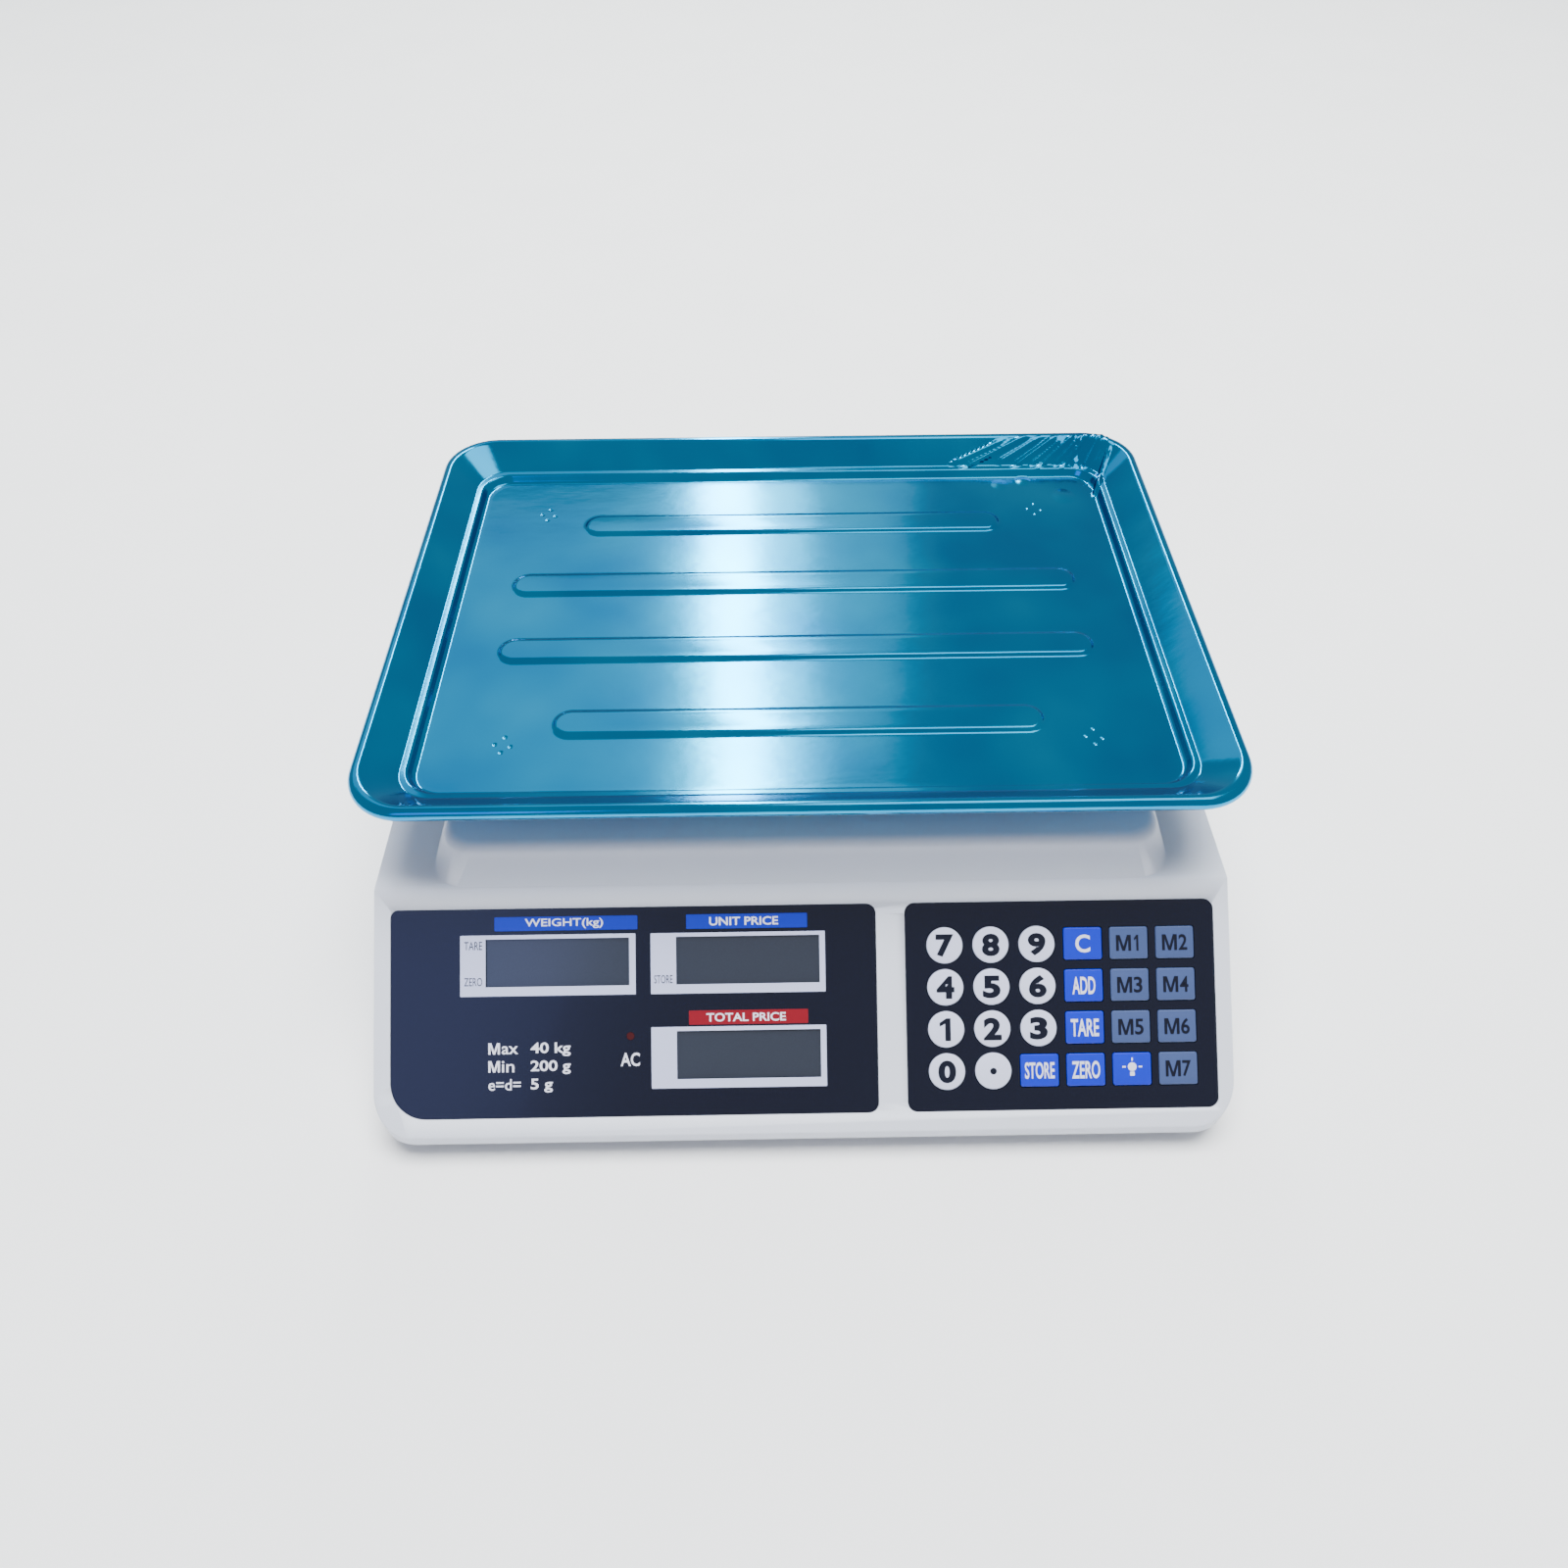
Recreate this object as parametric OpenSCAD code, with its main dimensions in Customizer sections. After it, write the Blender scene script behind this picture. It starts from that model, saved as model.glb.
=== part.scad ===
// Retail price scale: a bench scale with a lift-off pan, a sloping front with three displays
// and a keypad, and three more displays on the customer's side.
// Frame: +Z up, Z 0 on the table, origin under the middle of the scale, the front faces -Y.
// Lengths are in millimetres.

/* [Housing] */
// Width of the housing
body_w = 335; // [325:1:340]
// Distance from the origin to the front lip
front_y = 160; // [158:1:162]
// Distance from the origin to the rear face at its foot
rear_y = 157; // [155:1:158]
// Radius of the upright corners
corner_r = 15; // [10:1:18]
// Wall thickness of the moulded shells
wall = 2.5; // [2:0.1:3]
// Height of the shoulder in front of the deck
shoulder_z = 72; // [71:0.5:74]
// Height of the deck under the pan
deck_z = 89; // [88:0.5:90]
// Slope of the rear face from the upright
rear_lean = 14.2; // [12:0.1:15]

/* [Pan] */
// Width of the pan over its rim
pan_w = 340; // [336:1:344]
// Depth of the pan over its rim
pan_d = 240; // [238:1:242]
// Height of the pan's rim above the table
rim_z = 116; // [115:0.5:118]
// Corner radius of the rim
pan_corner_r = 23; // [23:0.5:26]
// Depth from the top of the rim to the pan's floor
pan_depth = 13.5; // [13:0.1:14]
// Thickness of the sheet
sheet = 0.7; // [0.6:0.1:0.9]

/* [Keypad] */
// Spacing of the key columns
key_pitch_x = 18.05; // [17.8:0.05:18.2]
// Spacing of the key rows
key_pitch_y = 16.3; // [16:0.1:16.5]
// Diameter of the number keys
round_key_d = 14.2; // [13:0.1:14.4]

/* [Hidden] */
$fn = 64;
eps = 0.01;
foot_h = 6;                       // underside of the base above the table
floor_t = 2.5;
floor_z = foot_h + floor_t;       // top of the base's floor
split_z = 9;                      // lower edge of the upper housing
lip_z = 14;                       // foot of the sloping front
lip_top = 12;                     // top of the base's inner lip
half_w = body_w / 2;
shoulder_y = -82.5;
panel_angle = atan((shoulder_z - lip_z) / (front_y + shoulder_y));
pan_y = front_y - pan_d / 2;      // middle of the pan, whose rear edge is as far back as the lip is forward
pan_floor = rim_z - pan_depth;
pan_under = pan_floor - sheet;

// Deck
deck_half = 146;
deck_front = -82;
deck_taper = 22;
deck_corner_r = 12;

// Front panel, measured up the slope from the lower edge of the black films
film_low = -89.4;                 // on the slope, from the shoulder line
film_h = 81.1;
film_t = 0.8;
film_recess = 1;
left_film = [-161, 28.8];
right_film = [39.9, 161.2];
left_corners = [14, 3, 4, 4];     // radii, from the lower left corner clockwise
right_corners = [4, 4, 4, 4];
film_gap = 0.2;                   // between a film and the edge of its recess
keypad_hole = [46, 155, 6, 73];   // where the wall is cut away behind the keys: x0, x1, y0, y1
window = [56, 18.5];
lcd_glass = [60, 22, 2.8];
lcd_holder = [66, 25, 4.2];
lcd_top = -1.05;
// middle of each front window: x, height on the film
front_windows = [[-95.9, 59.95], [-21.55, 59.95], [-21.55, 23.4]];
rear_windows = [[-68, 43], [0, 43], [68, 43]];
lamp_at = [-67.6, 31];

// Keypad: x and height on the film of the bottom left key
key_x0 = 55.5;
key_v0 = 15.3;
square_key = [15, 12.6];
key_gap = 0.25;
key_top = 0;
key_t = 2.2;
key_stem_r = 2.5;
key_travel = 0.5;
dome_crest = -5;
key_board_z = -5.6;
key_names = [
    ["key_0", "key_point", "key_store", "key_zero", "key_light", "key_m7"],
    ["key_1", "key_2", "key_3", "key_tare", "key_m5", "key_m6"],
    ["key_4", "key_5", "key_6", "key_add", "key_m3", "key_m4"],
    ["key_7", "key_8", "key_9", "key_clear", "key_m1", "key_m2"],
];
all_keys = [for (row = [0:3]) for (col = [0:5]) [row, col]];

// Feet, screws and inside parts
feet = [[-140, -130], [140, -130], [-140, 130], [140, 130]];
stud_r = 4;
running = 0.05;                   // radial clearance of a fit that turns or slides
screws = [[-152, -70], [152, -70], [34, -146], [-156, 66], [156, 66], [-128, 146], [128, 146]];
screw_r = 1.9;
plate = [180, 110, 3];
plate_z = 14;
plate_pillars = [[-80, -45], [80, -45], [-80, 45], [80, 45]];
cell = [130, 30, 22];
cell_z = 28;
cell_bolt_x = [38, 54];           // the bolts' distances from the middle of the load cell
bolt_r = 3;
spider_z = 58;
spider_t = 6;
post_x = 118;
post_y = 75;
post_r = 7;
spigot_r = 5;
pad_r = 13;
pad_z = 92.5;
stop_gap = 1;
battery = [47, 101, 47];
battery_at = [95, -10.5, 9];
door_gap = 0.3;
switch_y = 32;
inlet_y = 105;
side_z = 32;
vial_at = [0, -52];
vial_r = 9;

// ---- Shared shapes ----

// A rectangle with round corners, about the origin.
module round_rect(w, d, r) {
    square([w - 2 * r, d], center = true);
    square([w, d - 2 * r], center = true);
    for (x = [-1, 1], y = [-1, 1]) translate([x * (w / 2 - r), y * (d / 2 - r)]) circle(r);
}

// A flat plate with round corners, from x0 to x1 and y0 to y1.
module plate_between(x0, x1, y0, y1, r, z0, z1) {
    translate([(x0 + x1) / 2, (y0 + y1) / 2, z0])
        linear_extrude(z1 - z0) round_rect(x1 - x0, y1 - y0, r);
}

module box_between(low, high) translate(low) cube(high - low);

// An outline of Y and Z points, drawn right across the housing.
module across(points, half) {
    translate([-half, 0, 0]) rotate([90, 0, 90]) linear_extrude(2 * half) polygon(points);
}

// Local frame of the sloping front: x across, y up the slope from the films' lower edge, z outwards.
module on_panel() {
    translate([0, shoulder_y, shoulder_z]) rotate([panel_angle, 0, 0]) translate([0, film_low, 0]) children();
}

// Local frame of the rear face: x to the left as seen from the front, y up the face, z outwards.
module on_rear() {
    translate([0, rear_y, split_z]) rotate([90 - rear_lean, 0, 180]) children();
}

// ---- Housing ----

// Where the outer faces lie, moved inwards by t.
function slope_z(y, t) = shoulder_z - (shoulder_y - y) * tan(panel_angle) - t / cos(panel_angle);
function slope_y(z, t) = shoulder_y - (shoulder_z - t / cos(panel_angle) - z) / tan(panel_angle);
function rear_at(z, t) = rear_y - (z - split_z) * tan(rear_lean) - t / cos(rear_lean);
function deck_front_at(z, t) = deck_front + (z - shoulder_z) * tan(deck_taper) + t / cos(deck_taper);
function deck_half_at(z, t) = deck_half - (z - shoulder_z) * tan(deck_taper) - t / cos(deck_taper);

// The housing's outer form below the deck, moved inwards by t, from height z0.
module wedge(t, z0) {
    intersection() {
        across([
            [-front_y + t, z0],
            [-front_y + t, slope_z(-front_y + t, t)],
            [slope_y(shoulder_z - t, t), shoulder_z - t],
            [rear_at(shoulder_z - t, t), shoulder_z - t],
            [rear_at(z0, t), z0],
        ], half_w);
        plate_between(-half_w + t, half_w - t, -front_y + t, rear_y - t, corner_r - t, z0 - 1, shoulder_z + 1);
    }
}

// The raised deck, moved inwards by t, from height z0.
module deck(t, z0) {
    top = deck_z - t;
    intersection() {
        across([
            [deck_front_at(z0, t), z0],
            [deck_front_at(top, t), top],
            [rear_at(top, t), top],
            [rear_at(z0, t), z0],
        ], half_w);
        translate([0, rear_y, 0]) rotate([90, 0, 0]) linear_extrude(rear_y + front_y)
            polygon([
                [-deck_half_at(z0, t), z0], [deck_half_at(z0, t), z0],
                [deck_half_at(top, t), top], [-deck_half_at(top, t), top],
            ]);
        plate_between(-deck_half - 5, deck_half + 5, deck_front - 5, rear_y + 10,
                      deck_corner_r, z0 - 1, deck_z + 1);
    }
}

module housing_form(t, z0) {
    wedge(t, z0);
    deck(t, shoulder_z - t - eps);
}

module screw_pillars(z0, z1, r) for (at = screws) translate([at.x, at.y, z0]) cylinder(r = r, h = z1 - z0);

// One window through the wall for each display.
module window_cuts(windows, depth) {
    for (at = windows) translate([at.x, at.y, -depth])
        linear_extrude(depth + 1) square([lcd_glass.x + 0.4, lcd_glass.y + 0.4], center = true);
}

// The outline of a black film, grown by g, with a radius of its own at each corner.
module film_outline(span, corners, g) {
    ends = [[0, 0], [0, 1], [1, 1], [1, 0]];
    hull() for (i = [0:3]) {
        r = corners[i];
        inset = [ends[i][0] == 0 ? r : -r, ends[i][1] == 0 ? r : -r];
        translate([span[ends[i][0]], ends[i][1] * film_h] + inset) circle(r + g - film_gap);
    }
}

module film_recess_cut(span, corners) {
    translate([0, 0, -film_recess]) linear_extrude(film_recess + 2) film_outline(span, corners, film_gap);
}

module upper_housing() {
    color("whitesmoke") difference() {
        union() {
            difference() {
                housing_form(0, split_z);
                housing_form(wall, split_z - 1);
            }
            intersection() {
                housing_form(0.5, split_z);
                screw_pillars(16, deck_z, 4.5);
            }
        }
        screw_pillars(15, 24, screw_r + running);
        on_panel() {
            film_recess_cut(left_film, left_corners);
            film_recess_cut(right_film, right_corners);
            window_cuts(front_windows, 4);
            translate([lamp_at.x, lamp_at.y, -4]) cylinder(r = 2.1, h = 5);
            plate_between(keypad_hole[0], keypad_hole[1], keypad_hole[2], keypad_hole[3], 3, -4, 1);
        }
        on_rear() {
            plate_between(-108, 108, 24, 62, 4, -film_recess, 2);
            window_cuts(rear_windows, 4);
        }
        for (x = [-1, 1], y = [-1, 1])
            translate([x * post_x, pan_y + y * post_y, deck_z - 5]) cylinder(r = 10, h = 10);
        translate([vial_at.x, vial_at.y, deck_z - 5]) cylinder(r = vial_r + running, h = 10);
        side_cut(switch_y, 19.4, 13.4);
        side_cut(inlet_y, 24.4, 16.4);
    }
}

// An opening through the right side wall.
module side_cut(y, w, h) {
    translate([half_w - wall - 1, y - w / 2, side_z - h / 2]) cube([wall + 2, w, h]);
}

module base_plan(inset, z0, z1) {
    plate_between(-half_w + inset, half_w - inset, -front_y + inset, rear_y - inset, corner_r - inset, z0, z1);
}

module lower_housing() {
    door = door_opening();
    color("gainsboro") difference() {
        union() {
            base_plan(1, foot_h, floor_z);
            difference() {
                base_plan(1, foot_h, split_z);
                base_plan(wall + 2, foot_h - 1, split_z + 1);
            }
            // lip that locates the upper housing, set in to clear the leaning rear wall
            difference() {
                base_plan(wall + 0.3, floor_z - eps, lip_top);
                base_plan(wall + 2, foot_h - 1, lip_top + 1);
                translate([-half_w, rear_at(lip_top, wall) - 0.3, foot_h]) cube([body_w, 10, 20]);
            }
            for (at = feet) translate([at.x, at.y, floor_z - eps]) cylinder(r = 9, h = 9);
            screw_pillars(floor_z - eps, 16, 5);
            for (at = plate_pillars) translate([at.x, pan_y + at.y, floor_z - eps])
                cylinder(r = 6, h = plate_z - floor_z);
            // a wall round the battery
            difference() {
                box_between([door[0].x - 2, door[0].y - 2, floor_z - eps], [door[1].x + 2, door[1].y + 2, 30]);
                box_between([door[0].x, door[0].y, floor_z - 1], [door[1].x, door[1].y, 31]);
            }
            // stiffening ribs across the floor
            for (y = [-110, -75, 130]) box_between([-120, y - 1, floor_z - eps], [120, y + 1, 14]);
            // posts under the main board
            for (x = [-147, -99], y = [-45, 55]) translate([x, y, floor_z - eps]) cylinder(r = 3, h = 5.5);
        }
        for (at = feet) translate([at.x, at.y, 0]) cylinder(r = stud_r + running, h = 25);
        screw_pillars(0, 20, screw_r + running);
        screw_pillars(0, 8.6, 4);
        for (at = plate_pillars) translate([at.x, pan_y + at.y, floor_z]) cylinder(r = 1.6, h = 10);
        box_between([door[0].x, door[0].y, 0], [door[1].x, door[1].y, floor_z + 1]);
        for (x = [-60:12:60]) box_between([x - 1.5, -60, 0], [x + 1.5, -35, 20]);
    }
}

// Lowest and highest corner of the opening that the battery goes in through.
function door_opening() = [
    [battery_at.x - 2, battery_at.y - 2],
    [battery_at.x + battery.x + 2, battery_at.y + battery.y + 2],
];

module battery_door() {
    door = door_opening();
    color("lightgray") difference() {
        union() {
            box_between([door[0].x + door_gap, door[0].y + door_gap, foot_h],
                        [door[1].x - door_gap, door[1].y - door_gap, floor_z - 0.1]);
            // grip ribs
            for (i = [0:4]) translate([battery_at.x + 8 + 8 * i, battery_at.y + 8, foot_h - 1])
                cube([2, 20, 1 + eps]);
        }
        // coin slot of the catch
        translate([battery_at.x + battery.x / 2 - 8, battery_at.y + battery.y - 12, foot_h - 1])
            cube([16, 2.4, 2.2]);
    }
}

module case_screws() {
    color("silver") for (at = screws) translate([at.x, at.y, 0]) {
        difference() {
            translate([0, 0, 6.4]) cylinder(r = 3.5, h = 2.2);
            translate([-2.5, -0.4, 6]) cube([5, 0.8, 1.4]);
            translate([-0.4, -2.5, 6]) cube([0.8, 5, 1.4]);
        }
        translate([0, 0, 8.5]) cylinder(r = screw_r, h = 13);
    }
    color("silver") for (at = plate_pillars) translate([at.x, pan_y + at.y, 0]) {
        translate([0, 0, plate_z - 4]) cylinder(r = 1.55, h = 8);
        translate([0, 0, plate_z + plate.z]) cylinder(r = 3.5, h = 2.2);
    }
}

// ---- Front panel ----

module display_film() {
    color("midnightblue") on_panel() difference() {
        film(left_film, left_corners);
        for (at = front_windows) translate([at.x, at.y, -3]) linear_extrude(4) square(window, center = true);
        translate([lamp_at.x, lamp_at.y, -3]) cylinder(r = 1.6, h = 4);
    }
}

module film(span, corners) {
    translate([0, 0, -film_recess]) linear_extrude(film_t) film_outline(span, corners, 0);
}

function key_at(key) = [key_x0 + key[1] * key_pitch_x, key_v0 + key[0] * key_pitch_y];
function is_round(key) = key[1] < 2 || (key[1] == 2 && key[0] > 0);

// The outline of a key, grown by g.
module key_shape(key, g) {
    if (is_round(key)) circle(round_key_d / 2 + g);
    else round_rect(square_key.x + 2 * g, square_key.y + 2 * g, 1 + g);
}

module keypad_film() {
    color("black") on_panel() difference() {
        film(right_film, right_corners);
        for (key = all_keys) translate([key_at(key).x, key_at(key).y, -3])
            linear_extrude(4) key_shape(key, key_gap);
    }
}

module key_cap(key) {
    color(is_round(key) ? "white" : key[1] > 3 && !(key[0] == 0 && key[1] == 4) ? "slategray" : "mediumblue")
        on_panel() translate([key_at(key).x, key_at(key).y, 0]) {
            translate([0, 0, key_top - key_t]) linear_extrude(key_t) key_shape(key, 0);
            translate([0, 0, dome_crest + key_travel + 0.1])
                cylinder(r = key_stem_r, h = key_top - key_t - dome_crest - key_travel - 0.1 + eps);
        }
}

module keypad_board() {
    color("darkgreen") on_panel() {
        plate_between(44, 157, 3, 76, 2, key_board_z - 1.6, key_board_z);
        // ribbon connector
        box_between([90, 66, key_board_z - 6.6], [112, 72, key_board_z - 1.6]);
    }
}

module key_domes() {
    color("silver") on_panel() for (key = all_keys) translate([key_at(key).x, key_at(key).y, key_board_z])
        cylinder(r1 = 3.4, r2 = 1.6, h = dome_crest - key_board_z);
}

// A display: its glass in front and its holder behind.
module lcd() {
    translate([0, 0, lcd_top - lcd_glass.z / 2]) cube(lcd_glass, center = true);
    translate([0, 0, lcd_top - lcd_glass.z - lcd_holder.z / 2]) cube(lcd_holder, center = true);
}

module front_lcds() color("darkslategray") on_panel() for (at = front_windows) translate(at) lcd();

module rear_lcds() color("darkslategray") on_rear() for (at = rear_windows) translate(at) lcd();

lcd_back = lcd_top - lcd_glass.z - lcd_holder.z;

module display_board() {
    color("darkgreen") on_panel() {
        plate_between(-130, 20, 12, 76, 2, lcd_back - 1.6, lcd_back);
        box_between([-120, 20, lcd_back - 5], [-96, 26, lcd_back - 1.6]);
        box_between([-100, 40, lcd_back - 3.4], [-86, 54, lcd_back - 1.6]);
    }
}

module charge_lamp() {
    color("crimson") on_panel() translate([lamp_at.x, lamp_at.y, 0]) {
        translate([0, 0, -3.6]) cylinder(r = 1.5, h = 3.3);
        translate([0, 0, -4.6]) cylinder(r = 1.9, h = 1);
        translate([0, 0, lcd_back]) cylinder(r = 0.8, h = -lcd_back - 4.6);
    }
}

// ---- Rear panel ----

module rear_film() {
    color("midnightblue") on_rear() difference() {
        plate_between(-107.8, 107.8, 24.2, 61.8, 4, -film_recess, -film_recess + film_t);
        for (at = rear_windows) translate([at.x, at.y, -3]) linear_extrude(4) square(window, center = true);
    }
}

module rear_board() {
    color("darkgreen") on_rear() {
        plate_between(-104, 104, 26, 60, 2, lcd_back - 1.6, lcd_back);
        box_between([-12, 30, lcd_back - 6], [12, 36, lcd_back - 1.6]);
    }
}

// ---- Weighing gear ----

module cell_plate() {
    color("slategray") difference() {
        union() {
            plate_between(-plate.x / 2, plate.x / 2, pan_y - plate.y / 2, pan_y + plate.y / 2, 6,
                          plate_z, plate_z + plate.z);
            box_between([-cell.x / 2, pan_y - cell.y / 2, plate_z + plate.z - eps],
                        [-cell.x / 2 + 40, pan_y + cell.y / 2, cell_z]);
        }
        for (x = cell_bolt_x) translate([-x, pan_y, 0]) cylinder(r = bolt_r + 0.2, h = 40);
        for (at = plate_pillars) translate([at.x, pan_y + at.y, 0]) cylinder(r = 1.7, h = 40);
        for (at = stops()) translate([at.x, at.y, 0]) cylinder(r = bolt_r + running, h = 40);
    }
}

// The load cell: a beam with two joined holes, which leave four thin webs that bend.
module load_cell() {
    hole_r = 8;
    color("silver") translate([0, pan_y, cell_z]) difference() {
        translate([-cell.x / 2, -cell.y / 2, 0]) cube(cell);
        for (x = [-11, 11]) translate([x, cell.y / 2 + 1, cell.z / 2]) rotate([90, 0, 0])
            cylinder(r = hole_r, h = cell.y + 2);
        translate([-11, -cell.y / 2 - 1, cell.z / 2 - 5]) cube([22, cell.y + 2, 10]);
        for (x = cell_bolt_x) {
            translate([-x, 0, -1]) cylinder(r = bolt_r + running, h = 15);
            translate([x, 0, cell.z - 14]) cylinder(r = bolt_r + running, h = 15);
        }
    }
    // the sealed cover over the strain gauges
    color("white") translate([-24, pan_y - cell.y / 2 - 1.5, cell_z + 3]) cube([48, 1.5, cell.z - 6]);
}

// A cap screw standing on its head's underside, with its hex socket.
module cap_screw(length) {
    difference() {
        cylinder(r = 5, h = 5);
        translate([0, 0, 2]) cylinder(r = 2.8, h = 4, $fn = 6);
    }
    translate([0, 0, -length]) cylinder(r = bolt_r, h = length + eps);
}

module cell_bolts() {
    color("dimgray") for (x = cell_bolt_x) translate([-x, pan_y, plate_z]) mirror([0, 0, 1]) cap_screw(26);
}

module spider_bolts() {
    color("dimgray") for (x = cell_bolt_x) translate([x, pan_y, spider_z + spider_t]) cap_screw(26);
}

// The overload stops stand under the arms, this far along them.
function stops() = [for (x = [-1, 1], y = [-1, 1]) [x * 70, pan_y + y * 70 * post_y / post_x]];

module overload_stops() {
    color("silver") for (at = stops()) translate([at.x, at.y, 0]) {
        translate([0, 0, 11]) cylinder(r = bolt_r, h = spider_z - stop_gap - 11);
        translate([0, 0, plate_z + plate.z]) difference() {
            cylinder(r = 5.8, h = 5, $fn = 6);
            translate([0, 0, -1]) cylinder(r = bolt_r + running, h = 7);
        }
    }
}

module spider() {
    arm = norm([post_x, post_y]);
    color("silver") difference() {
        union() {
            translate([-45, pan_y - 25, spider_z]) cube([115, 50, spider_t]);
            box_between([cell.x / 2 - 40, pan_y - cell.y / 2, cell_z + cell.z],
                        [cell.x / 2, pan_y + cell.y / 2, spider_z + eps]);
            for (x = [-1, 1], y = [-1, 1]) translate([0, pan_y, spider_z])
                rotate([0, 0, atan2(y * post_y, x * post_x)]) {
                    translate([0, -7, 0]) cube([arm, 14, spider_t]);
                    translate([30, -1.5, spider_t - eps]) cube([arm - 30, 3, 6]);
                }
            for (x = [-1, 1], y = [-1, 1]) translate([x * post_x, pan_y + y * post_y, spider_z]) {
                cylinder(r = post_r, h = pad_z - spider_z);
                cylinder(r = spigot_r, h = pad_z - spider_z + 5);
            }
        }
        for (x = cell_bolt_x) translate([x, pan_y, 0]) cylinder(r = bolt_r + 0.2, h = 100);
    }
}

module support_pads() {
    color("dimgray") for (x = [-1, 1], y = [-1, 1]) translate([x * post_x, pan_y + y * post_y, pad_z])
        difference() {
            cylinder(r = pad_r, h = pan_under - pad_z);
            translate([0, 0, -1]) cylinder(r = spigot_r + running, h = 6.2);
        }
}

// ---- Pan ----

// The pan's section from the rim's outer edge inwards: rim roll, wall, ledge, step and floor.
rim_half = 3;                     // radius of the rolled rim
wall_top = [6.5, 0.6];            // top of the wall: inwards from the edge, down from the rim
wall_foot = [15, 9.5];
ledge = [18, 10.3];
step_in = 22.5;                   // where the floor starts
step_run = 3;                     // width of the rounded foot of the step
step_rise = 0.6;
under = [0.5, 0.8];               // the sheet's thickness on the sloping wall: across and down
bead_pitch = 43;
bead_w = 19;
bead_h = 1.4;
bead_long = 130;                  // half-length of the two middle beads
bead_short = 101.5;
function arc(c, r, a0, a1, n) = [
    for (i = [0:n]) let (a = a0 + (a1 - a0) * i / n) c + r * [cos(a), sin(a)]
];
function down(p) = [p.x, rim_z - p.y];
function pan_section() = concat(
    arc([rim_half, rim_z - rim_half], rim_half, -90, -270, 12),
    [down(wall_top), down(wall_foot), down(ledge)],
    [[step_in - step_run, pan_floor + step_rise], [step_in, pan_floor], [step_in, pan_under]],
    [[step_in - step_run, pan_under + step_rise / 2], down(ledge) - under, down(wall_foot) - under],
    [down(wall_top) - [0.5, 1.2]],
    arc([rim_half, rim_z - rim_half], rim_half - sheet, -240, -90, 12));

// The section run round the rim: four sides and four corners.
module pan_border() {
    x = pan_w / 2 - pan_corner_r;
    y = pan_d / 2 - pan_corner_r;
    inwards = [for (p = pan_section()) [-p.x, p.y]];
    from_corner = [for (p = pan_section()) [pan_corner_r - p.x, p.y]];
    for (side = [-1, 1]) {
        rotate([0, 0, side * 90 + 90]) translate([pan_w / 2, y, 0]) rotate([90, 0, 0])
            linear_extrude(2 * y) polygon(inwards);
        rotate([0, 0, side * 90]) translate([pan_d / 2, x, 0]) rotate([90, 0, 0])
            linear_extrude(2 * x) polygon(inwards);
    }
    for (corner = [[1, 1, 0], [-1, 1, 90], [-1, -1, 180], [1, -1, 270]])
        translate([corner[0] * x, corner[1] * y, 0]) rotate([0, 0, corner[2]])
            rotate_extrude(angle = 90) polygon(from_corner);
}

module pan() {
    color("deepskyblue") translate([0, pan_y, 0]) {
        pan_border();
        difference() {
            union() {
                translate([0, 0, pan_under]) linear_extrude(sheet)
                    square([pan_w - 2 * step_in + 1, pan_d - 2 * step_in + 1], center = true);
                beads(bead_w, pan_under, pan_floor + bead_h);
            }
            beads(bead_w - 2 * sheet, pan_under - 1, pan_under + bead_h);
        }
    }
}

// The stiffening beads pressed up in the pan's floor, each with round ends.
module beads(w, z0, z1) {
    for (i = [-1.5:1.5]) {
        half = (abs(i) < 1 ? bead_long : bead_short) - bead_w / 2;
        translate([0, i * bead_pitch, z0]) linear_extrude(z1 - z0) {
            square([2 * half, w], center = true);
            for (x = [-half, half]) translate([x, 0]) circle(w / 2);
        }
    }
}

module pan_cups() {
    color("silver") for (x = [-1, 1], y = [-1, 1]) translate([x * post_x, pan_y + y * post_y, pan_under - 5])
        difference() {
            cylinder(r = pad_r + 2.5, h = 5);
            translate([0, 0, -1]) cylinder(r = pad_r + 0.6, h = 7);
        }
}

// ---- Parts inside the base ----

module main_board() {
    color("darkgreen") box_between([-152, -50, 14], [-94, 60, 15.6]);
    color("black") box_between([-134, -10, 15.6], [-112, 12, 18]);
    color("white") {
        for (y = [-44, -24, 30]) box_between([-150, y, 15.6], [-143, y + 14, 23]);
        for (x = [-140, -118]) box_between([x, -49, 15.6], [x + 18, -43, 23]);
        box_between([-136, 53, 15.6], [-118, 59, 23]);
    }
    color("navy") for (y = [20, 34]) translate([-106, y, 15.6]) cylinder(r = 5, h = 14);
    color("silver") box_between([-110, 42, 15.6], [-98, 58, 27]);
}

module battery() {
    color("dimgray") translate(battery_at) cube(battery);
    color("red") translate(battery_at + [12, 8, battery.z]) cube([6, 6, 4]);
    color("black") translate(battery_at + [battery.x - 18, 8, battery.z]) cube([6, 6, 4]);
}

module transformer() {
    color("dimgray") {
        box_between([-147, 78, floor_z], [-103, 110, 12]);
        box_between([-143, 80, 12 - eps], [-107, 108, 40]);
    }
    color("khaki") box_between([-136, 73, 16], [-114, 115, 36]);
}

// ---- Side fittings ----

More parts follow.
